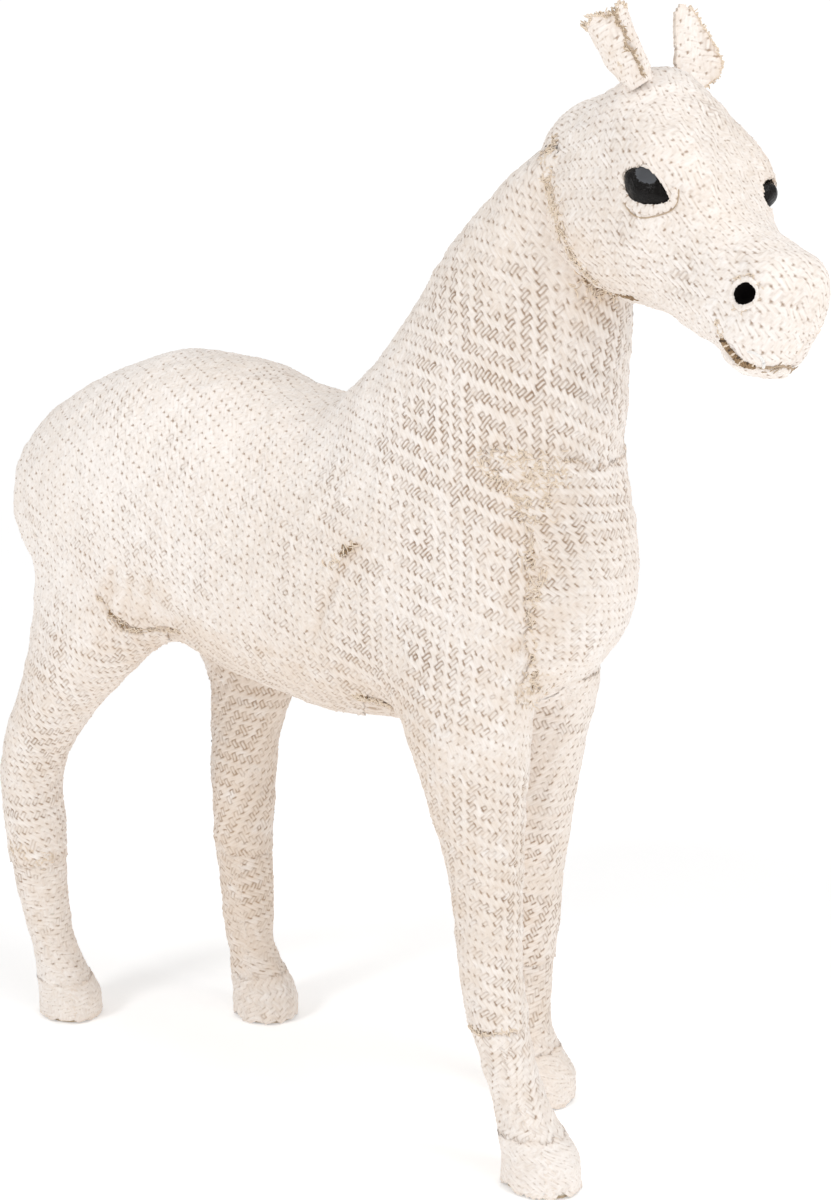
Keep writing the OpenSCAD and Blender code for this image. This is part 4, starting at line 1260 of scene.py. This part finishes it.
def ribbon(pts, sdf, wide, high, seed, pitch=(3.2, 2.2), closed=False, layer=0.0, lean=0.0, taper=0.0, amp=0.26, mark=0.5):
    """A narrow welt of cloth along a line on the skin."""
    du, dv = np.array(pitch) / STEPS
    p = along_path(pts, dv, closed)
    n = normals_of(sdf, p)
    p = settle(sdf, p, n, layer)
    n = normals_of(sdf, p)
    t = np.gradient(p, axis=0)
    if closed:
        t[0] = t[-1] = p[1] - p[-2]
    t -= n * (t * n).sum(1)[:, None]
    t /= np.linalg.norm(t, axis=1)[:, None]
    s = np.cross(n, t)
    k = max(int(round(math.pi * (wide + high) / 2 / du)), 5)
    th = np.linspace(math.pi, 0, k + 1)[None, :]
    x = np.linspace(0, 1, len(p))
    sc = 1 - taper * np.abs(2 * x - 1)[:, None] ** 3
    c = Cloth()
    hi = high * sc * np.sin(th) * (1 + lean * np.cos(th))
    c.p = p[:, None] + s[:, None] * (wide * sc * np.cos(th))[..., None] + n[:, None] * hi[..., None]
    nn = s[:, None] * (np.cos(th) * high)[..., None] + n[:, None] * (np.sin(th) * wide + 0.2)[..., None]
    c.n = nn / np.linalg.norm(nn, axis=-1)[..., None]
    # warp across, weft along
    c.b, c.a = np.meshgrid(np.arange(len(p)), np.arange(k + 1), indexing="ij")
    c.a = c.a + seed % 5
    c.ok = np.ones(c.a.shape, bool)
    end = np.minimum(x, 1 - x)[:, None] * len(p) * dv
    c.m = np.broadcast_to(np.full_like(end, 20.0) if closed else end + 0.6, c.a.shape).copy()
    return finish_cloth(c, 0.0, amp=amp, rag=0.5, lift=0.0, seed=seed, slack=0.0, skirt=0.6, mark=mark, ridge=0.5)


def on_side(pts, l):
    """Points given forward and up, at that many mm to the left."""
    return from_head([(f, l, u) for f, u in pts])


def pool(ring, to_points, depth, sdf, over, seed, step=0.7, rough=0.0):
    """A domed or hollow patch behind an opening. depth takes the distance inside the outline."""
    lo, hi = ring.min(0) - over, ring.max(0) + over
    nx, ny = (np.ceil((hi - lo) / step)).astype(int)
    gx, gy = np.meshgrid(lo[0] + step * np.arange(nx + 1), lo[1] + step * np.arange(ny + 1), indexing="ij")
    e = inside(gx, gy, ring)
    p = to_points(gx.ravel(), gy.ravel())
    n = normals_of(sdf, p)
    p = settle(sdf, p, n, rounds=8, cap=8)
    n = normals_of(sdf, p)
    p = p + n * (depth(e.ravel()) + rough * wave(p, 5.5, seed))[:, None]
    ok = e > -over
    quad = ok[:-1, :-1] & ok[1:, :-1] & ok[1:, 1:] & ok[:-1, 1:]
    qi, qj = np.nonzero(quad)
    idx = np.arange(e.size).reshape(e.shape)
    q = np.stack([idx[qi, qj], idx[qi + 1, qj], idx[qi + 1, qj + 1], idx[qi, qj + 1]], 1)
    used, inv = np.unique(q, return_inverse=True)
    o = Cloth()
    o.v, o.q = p[used], inv.reshape(-1, 4)
    a, b, c, d = (o.v[o.q[:, k]] for k in range(4))
    fn = np.cross(c - a, d - b)
    if (fn * n[used][o.q[:, 0]]).sum() < 0:
        o.q, fn = o.q[:, ::-1], -fn
    vn = np.zeros_like(o.v)
    for k in range(4):
        np.add.at(vn, o.q[:, k], fn)
    o.shade = vn / (np.linalg.norm(vn, axis=1)[:, None] + 1e-12)
    o.uv = np.stack([gx.ravel()[used], gy.ravel()[used]], 1)
    o.cav, o.tint, o.edge = np.zeros(len(o.v)), np.zeros(len(o.v)), np.zeros(len(o.v))
    o.face_up = np.ones(len(o.q))
    return o


def face_off(o, at, n, keep):
    """Cuts a dome flat on a plane, so that it has one smooth face."""
    n = np.array(n) / np.linalg.norm(n)
    d = (o.v - from_head(at)[0]) @ n - keep
    o.v = o.v - n * np.maximum(d, 0)[:, None]
    o.shade = np.where((d > 0)[:, None], n, o.shade)
    o.mat = ((d > 0)[o.q].all(1)).astype(int)
    return o


# eyes: black domes that fill the openings from behind, the right one with one polished face
dome = lambda e: -1.3 + 3.2 * (1 - (1 - np.clip((e + 2.2) / 9.0, 0, 1)) ** 2)
eye = pool(EYE_R, lambda x, y: from_head(np.stack([x, np.full_like(x, -36.0), y], 1)), dome, d_head, 2.2, 61, rough=0.2)
# the flat face takes the lighter grey-blue material, painted sheen
build("eye_r", [face_off(eye, (58.5, -38.6, 12.6), (0.08, -0.86, 0.50), 0.35)], [BLACK, POLISH_AND_SHEEN], ["eye_right"])
eye = pool(EYE_L, lambda x, y: from_head(np.stack([82.0 - 0.004 * x * x, x, y], 1)), lambda e: dome(e) - 0.9, d_head, 2.0, 62, rough=0.2)
build("eye_l", [eye], [BLACK], ["eye_left"])
bowl = lambda e: np.where(e < 0, -0.9, -0.9 - 7.0 * (1 - (1 - np.clip(e / 4.5, 0, 1)) ** 2.2))
for s, nm in ((-1, "right"), (1, "left")):
    build("nostril_" + nm[0], [pool(NOSTRIL, lambda x, y: from_head(np.stack([x, np.full_like(x, 22.0 * s), y], 1)), bowl, d_head, 1.6, 63, step=0.5)],
          [HOLE], ["nostril_" + nm])

# folded cloth round the openings
lids = [
    ribbon(on_side([(50.6, 3.4), (54.6, 0.0), (61.2, -2.8), (69.6, 0.6), (76.6, 4.8), (80.4, 8.6), (80.6, 13.0), (77.4, 16.6)], -35), d_head, 2.4, 0.7, 71, taper=0.45, lean=-0.3, mark=1.6, amp=0.4),
    ribbon(on_side([(49.2, 6.0), (49.6, 9.6), (52.4, 13.8), (58.8, 19.0), (67.0, 17.4), (74.0, 14.0), (78.6, 11.6)], -35), d_head, 0.8, 0.45, 72, taper=0.5),
    ribbon(from_head([(88, l, u) for l, u in [(15.0, 16.6), (19.0, 13.6), (23.5, 11.4), (28.5, 9.4), (33.0, 10.5)]]), d_head, 1.7, 1.0, 73, taper=0.5),
    ribbon(on_side(NOSTRIL + (NOSTRIL - NOSTRIL.mean(0)) * 0.16, -22), d_head, 1.25, 1.0, 75, closed=True, pitch=(2.6, 2.2)),
    ribbon(on_side(NOSTRIL + (NOSTRIL - NOSTRIL.mean(0)) * 0.16, 22), d_head, 1.25, 1.0, 76, closed=True, pitch=(2.6, 2.2)),
]
# a tan tube along the crease under the eye: painted shade for the crease's groove
crease = on_side([(55.0, -1.6), (60.4, -5.4), (66.6, -5.0), (71.4, -2.4), (75.4, 0.8), (80.8, 4.8), (83.0, 8.6), (82.6, 13.4), (80.4, 17.4)], -35)
crease = along_path(crease, 0.8)
crease = settle(d_head, crease, normals_of(d_head, crease), 0.35)
fold = tubes(crease[None], [0.34], 6)
fold.mat = 3
lids.append(fold)
lids.append(scatter(COLLAR, 2.2, 230, 6, d_all, 122, radius=0.3, across=1.2))
# brown bits low on the collar and under the jaw are partly painted shade where the head meets the neck
lids.append(scatter(COLLAR[6:], 0.9, 16, 4, d_all, 123, lift=0.1, mat=2))
lids.append(scatter([(158, -35, 468), (165, -37, 467), (172, -39, 467)], 1.5, 30, 5, d_all, 124, lift=0.3, mat=2))
rim = on_side(NOSTRIL + (NOSTRIL - NOSTRIL.mean(0)) * 0.45, -22)
lids.append(scatter(rim, 0.7, 26, 4.5, d_head, 125, radius=0.26, lift=0.5))
lids.append(scatter(from_head([(125.0, -22.8, -24.4), (127.4, -21.8, -26.6), (129.4, -20.8, -28.4)]), 0.7, 16, 3.5, d_head, 126, radius=0.3))
build("cloth_head", [head_r, head_l] + lids, [CLOTH, THREAD, BROWN, TAN], ["head_cover"])

lip_mesh = grid_mesh(d_lip, (225, -90, 430), (310, 10, 500), 3.0)
lip = panel(lip_mesh, d_lip, lambda p: d_head(p) + 2.5, from_head((136, 0, -43))[0], HF, pitch=(3.5, 2.4), margin=3)
finish_cloth(lip, 0.0, amp=0.34, seed=53)


def d_mouth(p):
    return smin(d_head(p), d_lip(p), 1.5)


def strands(pts, radius, turns, count, spread, sdf, layer, phase=0.0):
    """Yarns twisted round a line laid on the skin."""
    p = along_path(pts, 0.6)
    n = normals_of(sdf, p)
    p = settle(sdf, p, n, layer)
    n = normals_of(sdf, p)
    t = np.gradient(p, axis=0)
    t /= np.linalg.norm(t, axis=1)[:, None]
    s = np.cross(n, t)
    out = []
    for k in range(count):
        w = phase + 2 * math.pi * (k / count + turns * np.linspace(0, 1, len(p)))
        out.append(p + spread * (np.cos(w)[:, None] * s + np.sin(w)[:, None] * n))
    o = tubes(np.stack(out), np.full(count, radius), 6)
    o.mat = 0
    return o, p, n, s


MOUTH = [(129.8, -20.6, -28.8), (131.6, -19.6, -30.4), (134.2, -18.2, -31.8), (138.4, -15.8, -33.0), (142.6, -13.2, -32.9), (145.6, -11.6, -31.8)]
parts = []
for m in (1, -1):
    cord, p, n, s = strands(from_head([(f, l * m, u) for f, l, u in (MOUTH if m > 0 else MOUTH[:4])]), 0.8, 5, 3, 0.75, d_mouth, 0.7)
    parts.append(cord)
    r = np.random.default_rng(81 + m)
    at = np.arange(2, len(p) - 2, 4)
    ends = []
    for w in np.linspace(-1, 1, 5):
        ends.append(p[at] + s[at] * (w * 2.4) + n[at] * (1.5 * (1 - w * w) - 0.5)[..., None] + np.gradient(p, axis=0)[at] * w * 1.3)
    st = tubes(np.stack(ends, 1), r.uniform(0.42, 0.6, len(at)), 5)
    st.mat = 1 + np.arange(len(st.q)) // (len(st.q) // len(at)) % 2
    parts.append(st)
# the mouth's line runs on round the front, where the lip meets the muzzle: a tan tube there is painted shade for the
# line between them, with loose tan yarn along it
line = along_path(from_head([(146.6, -10.6, -31.4), (149.0, -6.0, -30.6), (150.0, -1.0, -30.4), (149.6, 5.0, -30.6), (147.0, 9.8, -31.0)]), 0.8)
for _ in range(10):
    for d in (d_head, d_lip):
        line = settle(d, line, normals_of(d, line))
line = settle(d_mouth, line, normals_of(d_mouth, line), 0.55)
cord = tubes(line[None], [0.4], 6)
cord.mat = 3
parts += [cord, scatter(line, 0.9, 40, 3.6, d_mouth, 131, radius=0.26, lift=0.4, mat=3)]
build("mouth_cord", parts, [BROWN, DARK, THREAD, TAN], ["mouth_braid"])
curl = along_path(from_head([(141.0, -16.6, -29.6), (144.4, -18.0, -27.0), (148.6, -15.4, -26.4), (150.4, -11.4, -29.4), (148.8, -9.6, -33.4)]), 0.8)
loop = tubes(curl[None], [0.75], 6)
loop.mat = 2
build("cloth_lip", [lip, loop], [CLOTH, THREAD, WHITE], ["lower_lip"])

# ---------------------------------------------------------------- paper head under the cloth
for s, nm in ((-1, "right"), (1, "left")):
    def half(p):
        d = d_head(p)
        l = to_head(p)[:, 1] * s
        return np.maximum(np.maximum(d + 2.4, -(d + 7.0)), np.maximum(0.3 - l, 2.0 - openings(p)))

    v, q = surface_nets(half(np.stack(np.meshgrid(*[np.arange(a, b, 3.0) for a, b in ((92, 306), (-76, 76), (440, 590))], indexing="ij"), -1).reshape(-1, 3)).reshape(72, 51, 50), np.array([92.0, -76.0, 440.0]), 3.0)
    o = Cloth()
    o.v, o.q = v, q
    fn = np.cross(v[q[:, 2]] - v[q[:, 0]], v[q[:, 3]] - v[q[:, 1]])
    vn = np.zeros_like(v)
    for k in range(4):
        np.add.at(vn, q[:, k], fn)
    o.shade = vn / (np.linalg.norm(vn, axis=1)[:, None] + 1e-12)
    o.uv = v[:, [0, 2]] * 0.02
    o.cav, o.tint, o.edge, o.face_up = np.zeros(len(v)), np.zeros(len(v)), np.zeros(len(v)), np.ones(len(q))
    build("paper_head_" + nm, [o], [PAPER], ["head_shell_" + nm])

# ---------------------------------------------------------------- ears


def two_faced(c, thick):
    """The outside of a finished cloth and its other side."""
    o = Cloth()
    n = len(c.v)
    o.v = c.v - c.vn * (thick(c.base)[:, None] if callable(thick) else thick)
    o.q, o.shade = c.q[:, ::-1], -c.shade
    for k in ("uv", "cav", "tint", "edge", "face_up"):
        setattr(o, k, getattr(c, k))
    return o


def ear_axes(d):
    d = np.array(d, float) / np.linalg.norm(d)
    wide = np.cross([0, 0, 1.0], d)
    wide /= np.linalg.norm(wide)
    return d, wide, np.cross(d, wide)


def ear_cloth(fn, size, pitch):
    """Cloth over two lengths: fn takes mm across and mm along and gives points and the distance to the edge."""
    du, dv = np.array(pitch) / STEPS
    ku, kv = int(size[0] / du), int(size[1] / dv)
    c = Cloth()
    c.a, c.b = np.meshgrid(np.arange(ku + 1), np.arange(kv + 1), indexing="ij")
    x, y = c.a * size[0] / ku, c.b * size[1] / kv
    q, c.m = fn(x, y)
    c.p = from_head(q.reshape(-1, 3)).reshape(q.shape)
    tx, ty = np.gradient(c.p, axis=0), np.gradient(c.p, axis=1)
    n = np.cross(tx, ty)
    c.n = n / (np.linalg.norm(n, axis=-1)[..., None] + 1e-9)
    c.ok = np.ones(c.a.shape, bool)
    return c


EAR_R, EAR_L = ear_axes((-27, -20, 26)), ear_axes((-20, 3, 27))
TUBE = Table([(-0.15, 5.5, 5.2), (0, 6.4, 6.6), (0.15, 7.8, 8.2), (0.4, 8.4, 9.2), (0.75, 8.6, 9.8), (1.05, 7.6, 9.4)])


def rolled(x, y):
    t = y / 33.0 - 0.1
    w, h = [k.reshape(t.shape) for k in TUBE(t.ravel())]
    th = np.radians(-366 + 400 * x / 68.0)
    sc = 0.93 + 0.17 * x / 68.0
    d, wide, thick = EAR_R
    slack = 0.5 * np.sin(x * 0.35 + y * 0.2) + 1.5 * np.exp(-((x - 68.0) / 4.5) ** 2)
    q = np.array([14.0, -19.0, 40.0]) + (t * 33.0)[..., None] * d + ((w * sc + slack) * np.cos(th))[..., None] * wide + ((h * sc + slack) * np.sin(th))[..., None] * thick
    tip = 33.0 * 1.1 - y + 1.6 * np.sin(x * 0.55) + 1.0 * np.sin(x * 1.7)
    return q, np.minimum(tip, np.minimum(x + 1, 68.6 - x + 0.9 * np.sin(y * 0.6)))


LEAF = Table([(-0.12, -4.0, 6.0), (-0.04, -6.0, 11.0), (0.1, -8.0, 15.0), (0.2, -9.6, 16.2), (0.32, -10.2, 16.4), (0.5, -10.4, 14.2), (0.7, -10.4, 10.0), (0.85, -10.2, 5.4), (0.96, -9.6, 1.0), (1.05, -7.6, -5.0)])


def leaf(x, y):
    t = y / 33.0 - 0.12
    s = x - 13.0
    lo, hi = [k.reshape(t.shape) for k in LEAF(t.ravel())]
    d, wide, thick = EAR_L
    cup = 0.007 * s * s + 1.3 * np.exp(-(s / 4.5) ** 2) + 0.35 * np.sin(s * 0.5 + t * 4) * (np.abs(s) > 4)
    q = np.array([8.0, 19.0, 40.0]) + (t * 33.0)[..., None] * d - s[..., None] * wide + cup[..., None] * thick
    return q, np.minimum(np.minimum(s - lo, hi - s), (1.05 - t) * 33.0)


ear = ear_cloth(rolled, (68.0, 43.0), (3.5, 2.4))
finish_cloth(ear, 0.0, amp=0.3, rag=0.9, lift=0.7, seed=91, slack=0.35, skirt=0.9, mark=1.1, ridge=1.0)
# the whole ear browner, in patches
ear.edge = np.maximum(ear.edge, 0.38 + 0.2 * wave(ear.v, 9, 95))
over = from_head(rolled(np.full(30, 68.0), np.linspace(6, 38, 30))[0])
lap = fray(ear, lambda p: np.linalg.norm(p[:, None] - over, axis=2).min(1) < 2.0, 60, 4.2, 96, radius=0.4, out=0.5)
lap.mat = 2
build("cloth_ear_right", [ear, two_faced(ear, 0.9), fray(ear, lambda p: to_head(p)[:, 2] > 44, 200, 2.4, 92, radius=0.42, out=0.8), lap],
      [CLOTH, THREAD, TAN], ["ear_right"], body="right_ear")
core = tubes(from_head(np.array([14.0, -19.0, 40.0]) + np.linspace(0, 27, 8)[:, None] * EAR_R[0])[None], [0.8], 8)
core.mat = 0
build("wire_ear_right", [core], [WIRE], ["ear_wire_right"], body="right_ear")
ear = ear_cloth(leaf, (30.5, 39.5), (4.0, 2.8))
finish_cloth(ear, 0.0, amp=0.3, rag=0.7, lift=0.2, seed=93, slack=0.2, skirt=0.9, mark=1.2, ridge=0.9)


def leaf_thick(p):
    s = (to_head(p) - np.array([8.0, 19.0, 40.0])) @ EAR_L[1]
    return 0.9 + 1.7 * np.exp(-(s / 4.5) ** 2)


build("cloth_ear_left", [ear, two_faced(ear, leaf_thick), fray(ear, lambda p: (to_head(p)[:, 1] > 18) & (to_head(p)[:, 2] > 38), 170, 2.2, 94, radius=0.42, out=0.75)],
      [CLOTH, THREAD], ["ear_left"], body="left_ear")

# ---------------------------------------------------------------- carried-over CAD nodes
TAKES = {"wire": WIRE, "binding": TAPE, "shell": PAPER, "core": PAPER, "block": PAPER, "sole": CARD,
         "nostril": HOLE, "eye": BLACK, "braid": BROWN, "ear_": CLOTH}
for name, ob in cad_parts.items():
    for word, m in TAKES.items():
        if word in name:
            ob.data.materials.clear()
            ob.data.materials.append(m)
            break

# ---------------------------------------------------------------- stage, light, camera
FLOOR = plain_material("floor_white", (0.90, 0.90, 0.90), (0.92, 0.92, 0.92), 3.0, 0.9, spec=0.0)
glow = next(n for n in FLOOR.node_tree.nodes if n.type == "BSDF_PRINCIPLED")
glow.inputs["Emission Color"].default_value = (1, 1, 1, 1)
far = node(FLOOR.node_tree, "ShaderNodeVectorMath", operation="LENGTH")
at = node(FLOOR.node_tree, "ShaderNodeTexCoord")
FLOOR.node_tree.links.new(at.outputs["Object"], far.inputs[0])
rise = node(FLOOR.node_tree, "ShaderNodeMapRange", interpolation_type="SMOOTHSTEP")
for k, val in (("From Min", 0.6), ("From Max", 3.2), ("To Min", 0.30), ("To Max", 0.56)):
    rise.inputs[k].default_value = val
FLOOR.node_tree.links.new(far.outputs["Value"], rise.inputs["Value"])
FLOOR.node_tree.links.new(rise.outputs[0], glow.inputs["Emission Strength"])
scene = bpy.context.scene
me = bpy.data.meshes.new("floor")
me.from_pydata([(-40, -40, 0), (40, -40, 0), (40, 40, 0), (-40, 40, 0)], [], [(0, 1, 2, 3)])
floor = bpy.data.objects.new("floor", me)
scene.collection.objects.link(floor)
floor.location.z = -0.0002
me.materials.append(FLOOR)

world = bpy.data.worlds.new("studio")
scene.world = world
world.use_nodes = True
world.node_tree.nodes["Background"].inputs[0].default_value = (1, 1, 1, 1)
world.node_tree.nodes["Background"].inputs[1].default_value = 0.55


def area(name, at, to, size, power):
    l = bpy.data.lights.new(name, "AREA")
    l.shape = "DISK"
    l.size, l.energy = size, power
    o = bpy.data.objects.new(name, l)
    o.location = at
    o.rotation_euler = (Vector(to) - Vector(at)).to_track_quat("-Z", "Y").to_euler()
    scene.collection.objects.link(o)
    return o


area("key", (-0.75, -1.65, 1.75), (0, 0, 0.35), 0.6, 13.2)
area("fill", (2.0, -0.75, 0.95), (0.05, 0, 0.3), 1.5, 9)
area("front", (1.2, 0.1, 2.2), (0.12, 0, 0.5), 1.0, 12.5)

az, pitch = math.radians(35), math.radians(16.3)
cam = bpy.data.cameras.new("camera")
cam.lens, cam.sensor_width, cam.sensor_fit = 74.5, 36.0, "AUTO"
co = bpy.data.objects.new("camera", cam)
scene.collection.objects.link(co)
co.location = (0.7331, -1.0348, 0.657)
look = Vector((-math.sin(az) * math.cos(pitch), math.cos(az) * math.cos(pitch), -math.sin(pitch)))
co.rotation_euler = look.to_track_quat("-Z", "Y").to_euler()
scene.camera = co
scene.view_settings.view_transform = "Standard"
